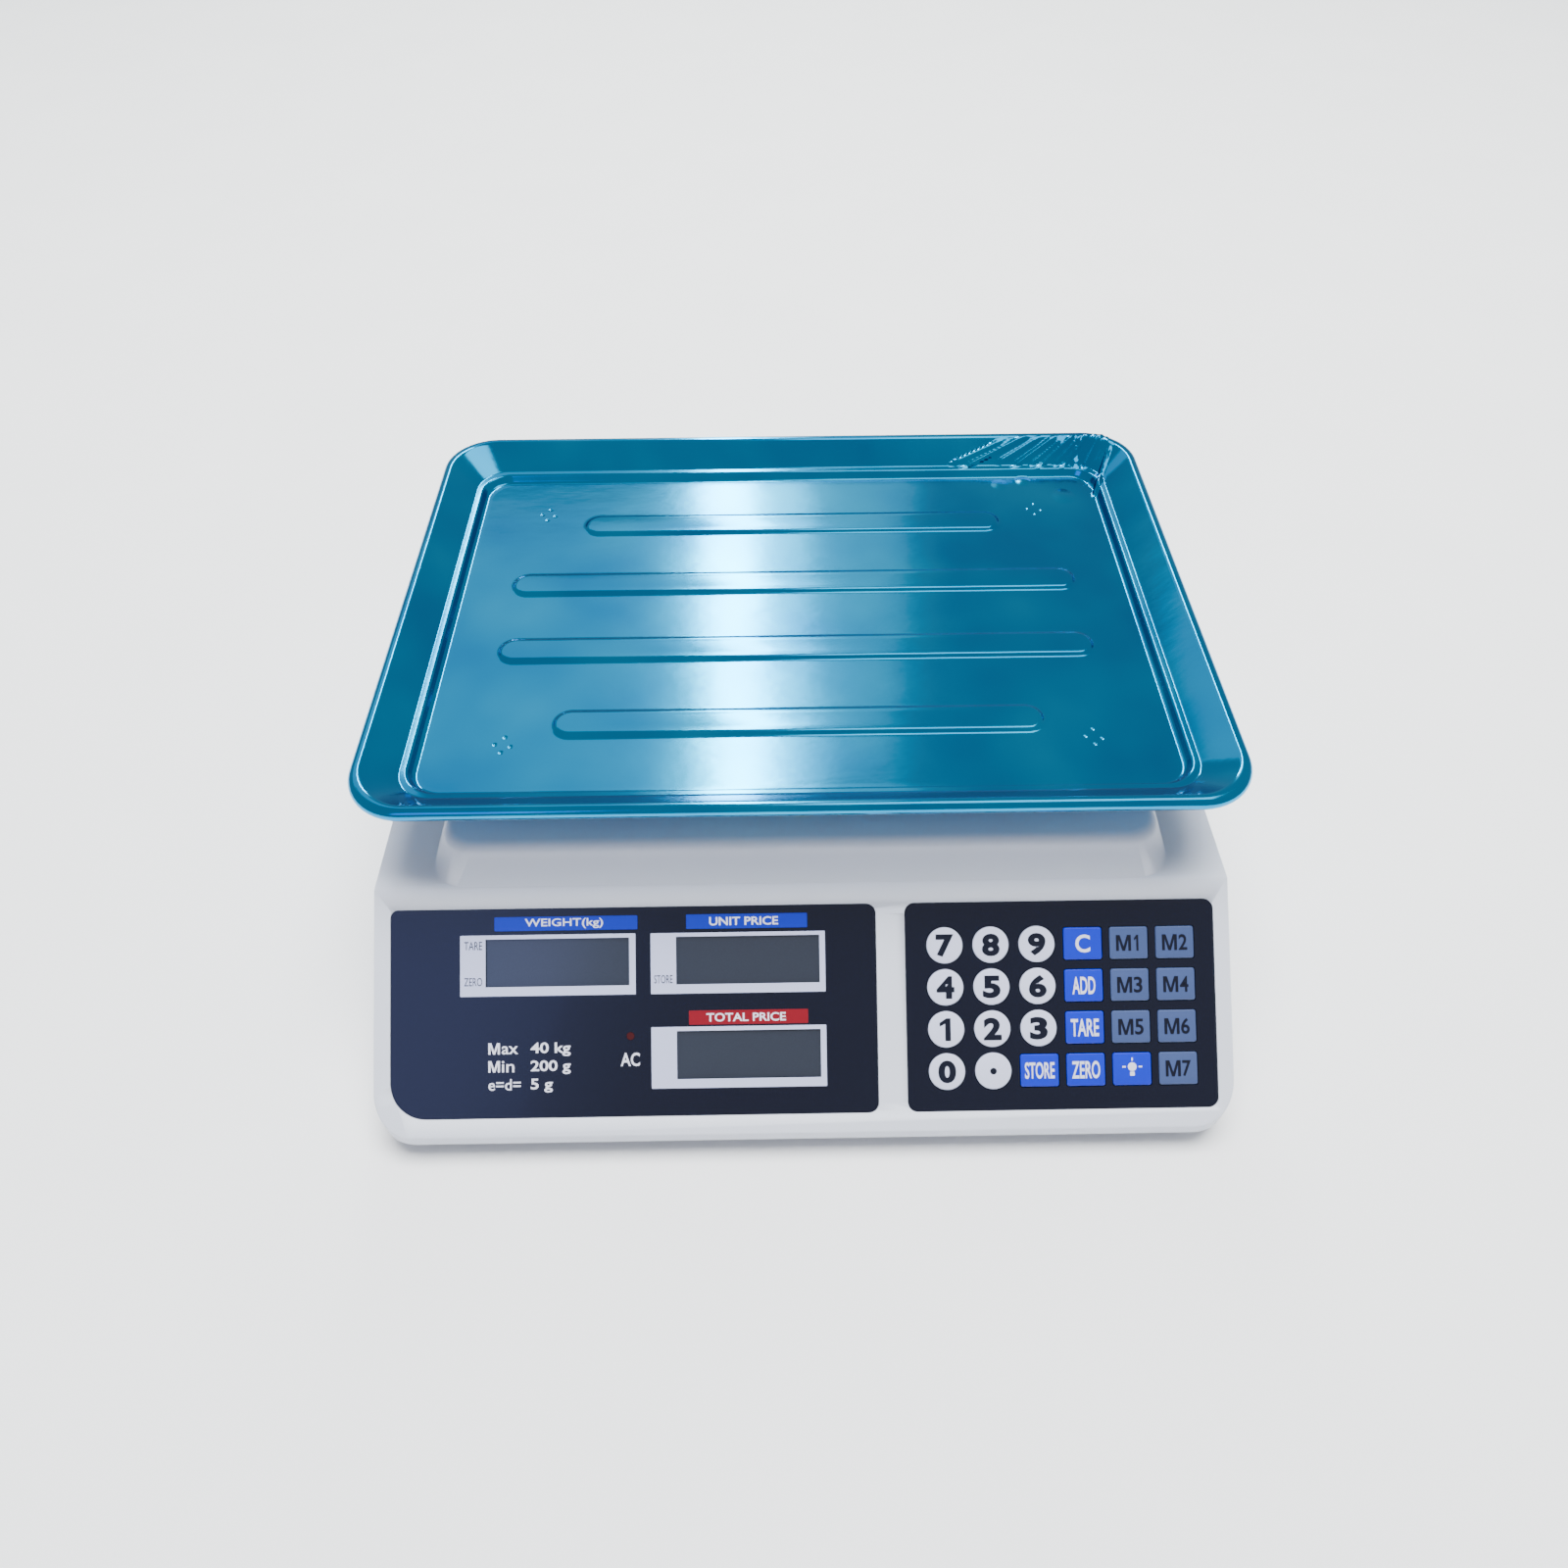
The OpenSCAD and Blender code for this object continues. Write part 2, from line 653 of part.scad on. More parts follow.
module mains_inlet() {
    mouth = half_w + 1.5;
    color("black") difference() {
        union() {
            box_between([half_w, inlet_y - 15, side_z - 10], [mouth, inlet_y + 15, side_z + 10]);
            box_between([half_w - 18, inlet_y - 12, side_z - 8], [half_w + eps, inlet_y + 12, side_z + 8]);
        }
        translate([half_w - 12, inlet_y, side_z]) rotate([90, 0, 90]) linear_extrude(20) {
            square([8.6, 8.4], center = true);
            for (x = [-4.3, 4.3]) translate([x, 0]) circle(4.2);
        }
    }
    color("gold") for (y = [-4.3, 4.3]) translate([half_w - 13, inlet_y + y, side_z])
        rotate([0, 90, 0]) cylinder(r = 1.2, h = 10);
}

rocker_pivot = [half_w - 4, switch_y];
rocker_half = 8;
rocker_tilt = 7;

module switch_body() {
    color("black") difference() {
        union() {
            box_between([half_w, switch_y - 11.5, side_z - 8], [half_w + 1.5, switch_y + 11.5, side_z + 8]);
            box_between([half_w - 18, switch_y - 9.5, side_z - 6.5],
                        [half_w + eps, switch_y + 9.5, side_z + 6.5]);
        }
        box_between([half_w - 9, switch_y - rocker_half - 1, side_z - 5.6],
                    [half_w + 3, switch_y + rocker_half + 1, side_z + 5.6]);
    }
}

// The rocker lies with its rear end pressed in: a shallow V that turns about an upright axis.
module switch_rocker() {
    color("firebrick") translate([rocker_pivot.x, rocker_pivot.y, side_z - 5.3])
        rotate([0, 0, -rocker_tilt]) linear_extrude(10.6)
        polygon([[-3.2, -2], [3.6, -rocker_half], [5.6, -rocker_half], [4.4, 0], [5.6, rocker_half],
                 [3.6, rocker_half], [-3.2, 2]]);
}

module level_vial() {
    color("yellowgreen") translate([vial_at.x, vial_at.y, deck_z - 6]) {
        cylinder(r = vial_r, h = 6 + eps);
        translate([0, 0, 6]) difference() {
            cylinder(r = vial_r + 1.5, h = 1);
            translate([0, 0, 0.4]) cylinder(r = vial_r - 1.5, h = 1);
        }
    }
}

// Each foot: a rubber disc moulded on a threaded stud.
module foot(at) {
    translate([at.x, at.y, 0]) {
        color("black") cylinder(r = 15, h = 1.2);
        color("black") translate([0, 0, 1.2 - eps]) cylinder(r1 = 15, r2 = 12, h = 3);
        color("silver") translate([0, 0, 4]) cylinder(r = stud_r, h = 15);
    }
}

// ---- Wiring inside the case ----

function unit(v) = v / norm(v);

// The direction of a lead at one of its points, halfway between the runs that meet there.
function heading(points, i) =
    let (last = len(points) - 1)
    let (start = max(i, 1), end = min(i, last - 1))
    let (before = points[start] - points[start - 1], after = points[end + 1] - points[end])
    unit(unit(before) + unit(after));

// A direction square to the lead, carried along from point to point so that the lead doesn't twist.
function sideways(points, i) =
    let (ahead = heading(points, i), from = i == 0 ? cross(ahead, [0.3, 0.5, 0.8]) : sideways(points, i - 1))
    unit(from - (from * ahead) * ahead);

// A round lead swept through the given points, with eight sides.
module lead(points, r) {
    sides = 8;
    rings = [for (i = [0:len(points) - 1])
        let (a = sideways(points, i), b = cross(heading(points, i), a))
        for (k = [0:sides - 1]) points[i] + r * (a * cos(360 * k / sides) + b * sin(360 * k / sides))];
    walls = [for (i = [0:len(points) - 2], k = [0:sides - 1])
        let (here = i * sides, next = (k + 1) % sides)
        each [[here + k, here + sides + k, here + next], [here + next, here + sides + k, here + sides + next]]];
    first = [for (k = [0:sides - 1]) k];
    last = [for (k = [sides - 1:-1:0]) (len(points) - 1) * sides + k];
    polyhedron(points = rings, faces = concat(walls, [first, last]));
}

// A point in space from its place on the sloping front or on the rear face.
function panel_point(x, v, d) = [
    x,
    shoulder_y + (film_low + v) * cos(panel_angle) - d * sin(panel_angle),
    shoulder_z + (film_low + v) * sin(panel_angle) + d * cos(panel_angle),
];
function rear_point(x, v, d) = [
    -x,
    rear_y - v * sin(rear_lean) + d * cos(rear_lean),
    split_z + v * cos(rear_lean) + d * sin(rear_lean),
];

module wiring() {
    // load cell to main board
    color("gray") lead([[-20, 23.5, 38], [-20, 16, 38], [-70, -18, 30], [-118, -17, 19.5], [-143, -17, 19.5]], 2);
    // battery to main board
    color("red") lead([[110, 0.5, 60], [110, 0.5, 62.5], [110, -15, 62], [110, -18, 50], [96, -21, 30],
                       [70, -30, 24], [-80, -37, 24], [-110, -37, 19.5], [-143, -37, 19.5]], 1.2);
    // mains inlet to transformer, and to the switch
    color("black") lead([[149.5, 105, 32], [144, 105, 32], [120, 118, 26], [-90, 119, 22], [-125, 123, 26],
                         [-125, 115, 26]], 2);
    color("black") lead([[149.5, 33, 34.5], [146.5, 33, 34.5], [146.5, 97, 34.5], [149.5, 97, 34.5]], 1.2);
    // displays and keypad to main board
    color("gray") lead([panel_point(-108, 23, lcd_back - 5), panel_point(-108, 23, lcd_back - 8),
                        [-120, -100, 24], [-131, -58, 19.5], [-131, -49, 19.5]], 2);
    color("gray") lead([panel_point(101, 69, key_board_z - 6.6), panel_point(101, 69, key_board_z - 10),
                        [60, -92, 22], [-90, -80, 22], [-109, -58, 19.5], [-109, -49, 19.5]], 2);
    color("gray") lead([rear_point(0, 33, lcd_back - 6), rear_point(0, 33, lcd_back - 9), [-60, 108, 25],
                        [-96, 104, 22], [-96, 68, 20], [-127, 66, 19.5], [-127, 59, 19.5]], 2);
}

// ---- Which node to draw ----

upper_housing();
lower_housing();
case_screws();
display_film();
keypad_film();
keypad_board();
key_domes();
front_lcds();
display_board();
charge_lamp();
rear_film();
rear_lcds();
rear_board();
main_board();
load_cell();
cell_plate();
cell_bolts();
overload_stops();
battery();
transformer();
mains_inlet();
switch_body();
switch_rocker();
level_vial();
wiring();
battery_door();
spider();
support_pads();
spider_bolts();
pan();
pan_cups();
foot(feet[0]);  // foot_front_left
foot(feet[1]);  // foot_front_right
foot(feet[2]);  // foot_rear_left
foot(feet[3]);  // foot_rear_right
for (key = all_keys) key_cap(key);
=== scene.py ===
# %% [markdown]
# # A retail price scale
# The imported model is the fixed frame: its parts keep their places and sizes. This lesson gives
# the parts that the eye sees their full shape, and every part its finish: a pressed steel pan
# under a blue protective film, a white moulded housing, black printed films and soft keys.

# %% Load the frame
from math import atan2, cos, degrees, pi, radians, sin, tan

import bpy
from mathutils import Matrix, Vector


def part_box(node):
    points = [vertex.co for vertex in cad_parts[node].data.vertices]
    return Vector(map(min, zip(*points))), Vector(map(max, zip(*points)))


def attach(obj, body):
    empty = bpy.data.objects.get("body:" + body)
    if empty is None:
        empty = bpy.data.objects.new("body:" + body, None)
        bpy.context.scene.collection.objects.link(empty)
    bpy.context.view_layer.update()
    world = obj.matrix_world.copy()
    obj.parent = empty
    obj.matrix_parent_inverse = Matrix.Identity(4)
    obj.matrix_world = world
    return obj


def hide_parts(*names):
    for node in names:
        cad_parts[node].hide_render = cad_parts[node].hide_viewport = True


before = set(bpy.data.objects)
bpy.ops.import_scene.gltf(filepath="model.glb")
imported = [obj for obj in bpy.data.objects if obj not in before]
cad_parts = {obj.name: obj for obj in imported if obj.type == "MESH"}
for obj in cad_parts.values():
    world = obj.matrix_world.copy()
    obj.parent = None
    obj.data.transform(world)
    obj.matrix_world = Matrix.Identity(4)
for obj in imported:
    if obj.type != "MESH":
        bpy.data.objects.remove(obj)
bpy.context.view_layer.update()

# %% [markdown]
# ## Small helpers
# Sizes are written in millimetres and turned to metres once, by `MM`. Everything is modelled
# in place with Blender's own operators. An operator acts on whatever is selected, and the
# frame arrives selected, so each piece starts by deselecting all.

# %% Helpers for objects
MM = 0.001


def edit_mode():
    bpy.ops.object.mode_set(mode="EDIT")


def object_mode():
    bpy.ops.object.mode_set(mode="OBJECT")


def select_whole():
    """In edit mode, selects the whole mesh."""
    bpy.ops.mesh.select_all(action="SELECT")


def deselect():
    if bpy.context.object and bpy.context.object.mode != "OBJECT":
        object_mode()
    bpy.ops.object.select_all(action="DESELECT")


def only(piece):
    """Selects one object and makes it the active one."""
    deselect()
    piece.select_set(True)
    bpy.context.view_layer.objects.active = piece
    return piece


def named(name):
    """Names the object just added, and puts its place and size into its mesh."""
    piece = bpy.context.object
    piece.name = piece.data.name = name
    bpy.ops.object.transform_apply(location=True, rotation=True, scale=True)
    return piece


def block(name, low, high):
    """A block between two corners, left in edit mode."""
    deselect()
    low, high = Vector(low), Vector(high)
    bpy.ops.mesh.primitive_cube_add(size=1, location=(low + high) / 2, scale=high - low)
    piece = named(name)
    edit_mode()
    return piece


def chain(name, places):
    """A run of edges through some places, drawn by extruding a vertex, left selected in edit mode."""
    deselect()
    bpy.ops.mesh.primitive_plane_add(size=MM)
    piece = named(name)
    edit_mode()
    bpy.ops.mesh.select_mode(type="VERT")
    select_whole()
    bpy.ops.mesh.merge(type="CENTER")
    bpy.ops.transform.translate(value=places[0])
    for here, there in zip(places, places[1:]):
        bpy.ops.mesh.extrude_region_move(TRANSFORM_OT_translate={"value": there - here})
    select_whole()
    return piece


def modify(piece, kind, **settings):
    """Adds a modifier and applies it."""
    only(piece)
    modifier = piece.modifiers.new(kind.title(), kind)
    for name, value in settings.items():
        setattr(modifier, name, value)
    bpy.ops.object.modifier_apply(modifier=modifier.name)
    return piece


def move_into(piece, place):
    """Carries a piece from its own drawing frame into the object's frame."""
    deselect()
    piece.data.transform(place)
    piece.data.update()
    return piece


def join(pieces, name):
    """Makes one object of several."""
    deselect()
    for piece in pieces:
        piece.select_set(True)
    bpy.context.view_layer.objects.active = pieces[0]
    bpy.ops.object.join()
    pieces[0].name = pieces[0].data.name = name
    return pieces[0]


# %% [markdown]
# Faces and edges are picked in code by where they lie and which way they face. An edge is
# often best told by the two faces that meet at it.

# %% Helpers for picking
def pick_faces(test):
    """In edit mode, selects the faces whose middle and normal pass the test."""
    mesh = bpy.context.object.data
    bpy.ops.mesh.select_mode(type="FACE")
    bpy.ops.mesh.select_all(action="DESELECT")
    object_mode()
    for face in mesh.polygons:
        face.select = test(face.center, face.normal)
    edit_mode()


def pick_edges(test):
    """In edit mode, selects the edges whose two ends and the normals of whose faces pass the test."""
    mesh = bpy.context.object.data
    bpy.ops.mesh.select_mode(type="EDGE")
    bpy.ops.mesh.select_all(action="DESELECT")
    object_mode()
    normals = {}
    for face in mesh.polygons:
        for key in face.edge_keys:
            normals.setdefault(key, []).append(face.normal.copy())
    for edge in mesh.edges:
        a, b = (mesh.vertices[i].co for i in edge.vertices)
        edge.select = test(a, b, normals.get(edge.key, []))
    edit_mode()


def close_to(a, b, by=0.01 * MM):
    return abs(a - b) < by


# %% [markdown]
# ## Drawing frames of the two display faces
# The front slopes and the rear face leans. What is printed or set on them is drawn flat,
# with x across, y up the face and z outwards, and then carried into place. The films give
# both frames: their biggest flat side says which way the face looks.

# %% The frames of the sloping front and of the rear face
FILM_GAP = 0.2 * MM          # the films end this far inside their recesses, and lie this far below the face


def face_frame(film):
    """The drawing frame of the face that a film lies on, with y = 0 at the recess's lower edge."""
    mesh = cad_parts[film].data
    spread = {}
    for face in mesh.polygons:
        key = tuple(round(c, 4) for c in face.normal)
        spread[key] = spread.get(key, 0) + face.area
    outward = Vector(max((k for k in spread if k[2] > 0.1), key=spread.get)).normalized()
    across = Vector((0, 0, 1)).cross(outward).normalized()
    up = outward.cross(across)
    low = min(v.co.dot(up) for v in mesh.vertices) - FILM_GAP
    top = max(v.co.dot(outward) for v in mesh.vertices) + FILM_GAP
    place = Matrix((across, up, outward)).transposed().to_4x4()
    place.translation = up * low + outward * top
    return place


def box_on(place, name):
    """A CAD node's lowest and highest corners in a drawing frame."""
    back = place.inverted()
    points = [back @ v.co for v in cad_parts[name].data.vertices]
    return [Vector(f(p[i] for p in points) for i in range(3)) for f in (min, max)]


front = face_frame("display_film")
rear = face_frame("rear_film")
slope = atan2(front.col[1].z, front.col[1].y)
print("the front slopes at", round(degrees(slope), 1), "degrees")
for film, place in (("display_film", front), ("keypad_film", front), ("rear_film", rear)):
    low, high = box_on(place, film)
    print(film, "is", round((high - low).x / MM, 1), "by", round((high - low).y / MM, 1), "mm")

# %% [markdown]
# ## Colours and nodes
# Colours are written as on a paint chart, in sRGB hex, and one function turns them to the
# linear values that a shader needs. One more adds a node with its settings and its links, both
# those that come in and those that its outputs feed.

# %% Helpers for materials
def linear(hex_colour):
    """A linear RGBA colour from an sRGB one such as "#3366CC"."""
    parts = [int(hex_colour[i : i + 2], 16) / 255 for i in (1, 3, 5)]
    return [c / 12.92 if c <= 0.04045 else ((c + 0.055) / 1.055) ** 2.4 for c in parts] + [1]


def add_node(tree, kind, inputs={}, feeds={}, stops=()):
    """Adds a node. An input takes a value or another node's output, an output feeds a socket,
    and a colour ramp's stops are pairs of a place and a colour."""
    made = tree.nodes.new("ShaderNode" + kind)
    for name, value in inputs.items():
        if isinstance(value, bpy.types.NodeSocket):
            tree.links.new(value, made.inputs[name])
        else:
            made.inputs[name].default_value = value
    for name, socket in feeds.items():
        tree.links.new(made.outputs[name], socket)
    for i, (place, colour) in enumerate(stops):
        made.color_ramp.elements[i].color = linear(colour)
        made.color_ramp.elements[i].position = place
    return made


def start_finish(name, **shader):
    """A new material: its tree, its Principled shader and its Object coordinates."""
    material = bpy.data.materials.new(name)
    material.use_nodes = True
    tree = material.node_tree
    principled = tree.nodes["Principled BSDF"]
    for socket, value in shader.items():
        principled.inputs[socket.replace("_", " ")].default_value = value
    place = add_node(tree, "TexCoord").outputs["Object"]
    return material, tree, principled, place


def per_metre(size_mm):
    """A noise scale that gives features of about this size."""
    return 1 / (size_mm * MM)


# %% [markdown]
# ## Finish: blue film on stainless steel
# The pan is bright-annealed stainless steel, pressed to shape and still covered by its clear
# blue polyethylene film. Light goes through the film, bounces off the metal and comes back,
# so the metal itself looks cyan blue, and the film's own surface adds a white, sharper shine.
# The film was stretched on, so it carries long faint waves.

# %% Blue film on stainless steel
def film_on_steel():
    material, tree, shader, place = start_finish(
        "blue_film_on_stainless_steel", Metallic=1, Roughness=0.13,
        Coat_Weight=0.05, Coat_Roughness=0.05, Coat_IOR=1.5,
    )
    waves = add_node(tree, "TexNoise", {"Vector": place, "Scale": per_metre(55), "Detail": 2})
    base = {"Color": shader.inputs["Base Color"]}
    add_node(tree, "ValToRGB", {"Fac": waves.outputs["Fac"]}, base, [(0.3, "#0080B6"), (0.7, "#009AC8")])
    stretch = add_node(tree, "Mapping", {"Vector": place, "Scale": (1, 2.2, 1)})
    along = stretch.outputs["Vector"]
    ripple = add_node(tree, "TexNoise", {"Vector": along, "Scale": per_metre(24), "Detail": 3})
    bump = {"Height": ripple.outputs["Fac"], "Strength": 0.25, "Distance": 0.3 * MM}
    add_node(tree, "Bump", bump, {"Normal": shader.inputs["Normal"]})
    return material


# %% [markdown]
# ## Finish: moulded plastics
# Housing, base and fittings are injection-moulded ABS and nylon. The mould's steel leaves a
# fine even grain, which spreads the shine, and large mouldings vary very slightly in gloss.

# %% Moulded plastic
def moulded(name, hex_colour, roughness, grain_mm, relief_mm):
    material, tree, shader, place = start_finish(name, Base_Color=linear(hex_colour), IOR=1.53)
    patches = add_node(tree, "TexNoise", {"Vector": place, "Scale": per_metre(40), "Detail": 3})
    gloss = {"Value": patches.outputs["Fac"], "To Min": roughness - 0.05, "To Max": roughness + 0.05}
    add_node(tree, "MapRange", gloss, {"Result": shader.inputs["Roughness"]})
    grain = add_node(tree, "TexNoise", {"Vector": place, "Scale": per_metre(grain_mm), "Detail": 4})
    bump = {"Height": grain.outputs["Fac"], "Strength": 0.35, "Distance": relief_mm * MM}
    add_node(tree, "Bump", bump, {"Normal": shader.inputs["Normal"]})
    return material


# %% [markdown]
# ## Finish: printed film, inks and keys
# The black panels are polycarbonate film printed on its back, so the print lies under a
# glossy skin. The keys are printed the same way. The skin is faintly wavy, like any sheet.

# %% Printed film
def printed_film(name, hex_colour, roughness=0.3, wave_mm=18):
    material, tree, shader, place = start_finish(
        name, Base_Color=linear(hex_colour), Roughness=roughness,
        IOR=1.5, Coat_Weight=0.1, Coat_Roughness=0.05,
    )
    wave = add_node(tree, "TexNoise", {"Vector": place, "Scale": per_metre(wave_mm), "Detail": 1})
    bump = {"Height": wave.outputs["Fac"], "Strength": 0.15, "Distance": 0.1 * MM}
    add_node(tree, "Bump", bump, {"Normal": shader.inputs["Normal"]})
    return material


# %% [markdown]
# ## Finish: metals and rubber
# Zinc-plated screws, a cast and milled aluminium spider, painted steel and vulcanised rubber
# are told apart by how they scatter light: brushed metal in fine lines, cast metal in soft
# patches, rubber hardly at all.

# %% Metal and rubber
def metal(name, hex_colour, roughness, mark_mm, stretch=(1, 1, 1)):
    material, tree, shader, place = start_finish(name, Base_Color=linear(hex_colour), Metallic=1)
    lines = add_node(tree, "Mapping", {"Vector": place, "Scale": stretch})
    along = lines.outputs["Vector"]
    marks = add_node(tree, "TexNoise", {"Vector": along, "Scale": per_metre(mark_mm), "Detail": 5})
    gloss = {"Value": marks.outputs["Fac"], "To Min": roughness * 0.7, "To Max": roughness * 1.4}
    add_node(tree, "MapRange", gloss, {"Result": shader.inputs["Roughness"]})
    bump = {"Height": marks.outputs["Fac"], "Strength": 0.2, "Distance": 0.05 * MM}
    add_node(tree, "Bump", bump, {"Normal": shader.inputs["Normal"]})
    return material


# %% [markdown]
# ## Finish: liquid crystal glass
# An unlit reflective display is a grey-green polariser behind glass. Seen closely it has the
# fine sparkle of its ground reflector.

# %% Liquid crystal glass
def display_glass():
    material, tree, shader, place = start_finish(
        "reflective_display_glass", Roughness=0.35, IOR=1.5, Coat_Weight=1, Coat_Roughness=0.15
    )
    sparkle = add_node(tree, "TexNoise", {"Vector": place, "Scale": per_metre(0.4), "Detail": 2})
    base = {"Color": shader.inputs["Base Color"]}
    add_node(tree, "ValToRGB", {"Fac": sparkle.outputs["Fac"]}, base, [(0, "#191E28"), (1, "#252B38")])
    return material


# %% Make the materials
blue_film = film_on_steel()
white_abs = moulded("white_moulded_abs", "#D3D7E2", 0.38, 0.6, 0.02)
grey_abs = moulded("grey_moulded_abs", "#C9CBD0", 0.5, 0.8, 0.04)
black_nylon = moulded("black_moulded_nylon", "#18181A", 0.45, 0.8, 0.04)
red_rocker = moulded("red_moulded_polycarbonate", "#B0151A", 0.3, 1.2, 0.01)
black_film = printed_film("black_printed_polycarbonate", "#05081A", 0.22)
white_key = printed_film("white_printed_key", "#C8CCE4", 0.3, 9)
blue_key = printed_film("blue_printed_key", "#0420B8", 0.3, 9)
slate_key = printed_film("slate_printed_key", "#3E4D76", 0.3, 9)
white_ink = printed_film("white_screen_ink", "#DCDDEB")
pale_ink = printed_film("lavender_screen_ink", "#B9BEDC")
blue_ink = printed_film("blue_screen_ink", "#0A22A0")
red_ink = printed_film("red_screen_ink", "#7A0A1A")
navy_ink = printed_film("navy_screen_ink", "#05081A")
lcd_glass = display_glass()
rubber = moulded("black_vulcanised_rubber", "#1B1B1C", 0.75, 1.0, 0.08)
zinc = metal("zinc_plated_steel", "#B9BCC0", 0.3, 0.6)
aluminium = metal("milled_aluminium", "#C8CACE", 0.32, 0.5, (1, 12, 12))
spring_steel = metal("spring_steel", "#B4B4B4", 0.25, 1.5)
board_green = moulded("green_solder_mask", "#0E4A22", 0.35, 2.0, 0.02)
grey_paint = moulded("grey_baked_paint", "#5B6068", 0.4, 1.5, 0.03)
dark_varnish = moulded("varnished_iron", "#1F1F20", 0.45, 0.5, 0.05)
dark_case = moulded("dark_battery_abs", "#26282C", 0.4, 0.8, 0.02)
grey_sleeve = moulded("grey_pvc_sleeve", "#55565A", 0.45, 1.0, 0.01)
lamp_red = printed_film("red_lamp_lens", "#3A080A", 0.15, 4)
vial_green = printed_film("green_vial_liquid", "#9BB728", 0.1, 6)
print(len(bpy.data.materials), "materials are ready")

# %% [markdown]
# ## Camera, floor and light
# The camera stands a little above and in front of the scale and looks steeply down, which
# shows the pan from above and the sloping front at once. Soft studio light comes from a pale
# surround and a large softbox overhead, which the glossy pan isn't shown. What the pan
# mirrors is a long ceiling strip, which gives the white band, two fainter ones beside it, a
# wide pale screen on the left and a ceiling panel on the right.

# %% Camera
CAMERA_AT = Vector((-9.13, -317.85, 420.62)) * MM
yaw, pitch, roll_angle = radians(0.584), radians(50.66), radians(-0.367)
ahead = Vector((sin(yaw) * cos(pitch), cos(yaw) * cos(pitch), -sin(pitch)))
level = Vector((cos(yaw), -sin(yaw), 0))
above = level.cross(ahead)
right = level * cos(roll_angle) + above * sin(roll_angle)
above = right.cross(ahead)
bpy.ops.object.camera_add()
camera = bpy.context.object
camera.name = "camera"
turn = Matrix((right, above, -ahead)).transposed().to_4x4()
camera.matrix_world = Matrix.Translation(CAMERA_AT) @ turn
camera.data.lens = 24.53
camera.data.sensor_width = 36
camera.data.clip_start = MM
bpy.context.scene.camera = camera
print("the camera looks down at", round(degrees(pitch), 1), "degrees")

# %% Floor
def floor_paper():
    material, tree, shader, place = start_finish("pale_paper_backdrop", Roughness=0.85, IOR=1.45)
    fibres = add_node(tree, "TexNoise", {"Vector": place, "Scale": per_metre(90), "Detail": 4})
    base = {"Color": shader.inputs["Base Color"]}
    add_node(tree, "ValToRGB", {"Fac": fibres.outputs["Fac"]}, base, [(0, "#F3F3F4"), (1, "#FAFAFA")])
    return material


deselect()
bpy.ops.mesh.primitive_plane_add(size=8, location=(0, 0, 0))
floor = named("floor")
edit_mode()
bpy.ops.mesh.subdivide(number_cuts=3)
object_mode()
floor.data.materials.append(floor_paper())

# %% Lights
def soft_light(name, at, target, size, power, colour="#FFFFFF"):
    """A rectangular lamp of width and length, turned to face a target."""
    deselect()
    bpy.ops.object.light_add(type="AREA", location=at)
    lamp = bpy.context.object
    lamp.name = name
    lamp.data.shape = "RECTANGLE"
    lamp.data.size, lamp.data.size_y = size
    lamp.data.energy = power
    lamp.data.color = linear(colour)[:3]
    lamp.rotation_euler = (Vector(target) - Vector(at)).to_track_quat("-Z", "Y").to_euler()
    return lamp


soft_light("ceiling_strip", (-0.138, 2.18, 2.0), (-0.03, 0.04, 0.1), (0.15, 1.9), 34, "#F0FFFA")
soft_light("second_strip", (0.03, 2.3, 2.0), (0.01, 0.04, 0.1), (0.14, 1.3), 2.4, "#F0FFFA")
soft_light("third_strip", (0.26, 2.3, 2.0), (0.03, 0.04, 0.1), (0.3, 1.3), 0.9, "#F0FFFA")
soft_light("pale_screen", (-1.3, 2.25, 2.2), (-1.3, 2.3, 0), (2.1, 1.7), 7.6, "#E2F6FF")
soft_light("ceiling_panel", (0.75, 0.35, 2.5), (0.75, 0.35, 0), (1.4, 1.3), 17, "#F0FFFA")
soft_light("blue_window", (-0.95, -1.75, 1.6), (-0.1, -0.12, 0.05), (0.75, 1.0), 4, "#8FA4FF")
softbox = soft_light("top_softbox", (0.1, 0.4, 2.6), (0, 0, 0), (2.2, 1.3), 190)
softbox.visible_glossy = False
world = bpy.data.worlds.new("pale_surround")
bpy.context.scene.world = world
world.use_nodes = True
world.node_tree.nodes["Background"].inputs["Color"].default_value = linear("#E8ECF4")
world.node_tree.nodes["Background"].inputs["Strength"].default_value = 0.6
print("seven lamps and a pale surround")

# %% [markdown]
# ## The pan: its pressed section
# The pan is pressed from one sheet: a rolled rim, a sloping wall, a narrow ledge, a step down
# and a flat floor. Its section is drawn once as a chain of points, by extruding a vertex
# again and again. It is spun round each corner and extruded along each side, so the four
# sides and corners meet exactly. The wall thickness comes last, from Solidify.

# %% Sizes of the pan, from the frame
pan_low, pan_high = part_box("pan")
cup_low, cup_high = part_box("pan_cups")
SHEET = 0.7 * MM
CORNER = 23 * MM                   # radius of the rim's corners
pan_middle = (pan_low + pan_high) / 2
rim = pan_high.z
under = cup_high.z                 # the underside of the floor, which the cups are welded to
floor_top = under + SHEET
print("the pan is", [round(s / MM) for s in pan_high - pan_low], "mm")
print("its floor lies", round((rim - floor_top) / MM, 1), "mm below the rim")


# %% A round run of points in the section
def arc(middle, radius, start, end, steps):
    """Points on an arc in a section of (inwards, height), with angles in degrees."""
    angles = [radians(start + (end - start) * i / steps) for i in range(steps + 1)]
    return [(middle[0] + radius * cos(a), middle[1] + radius * sin(a)) for a in angles]


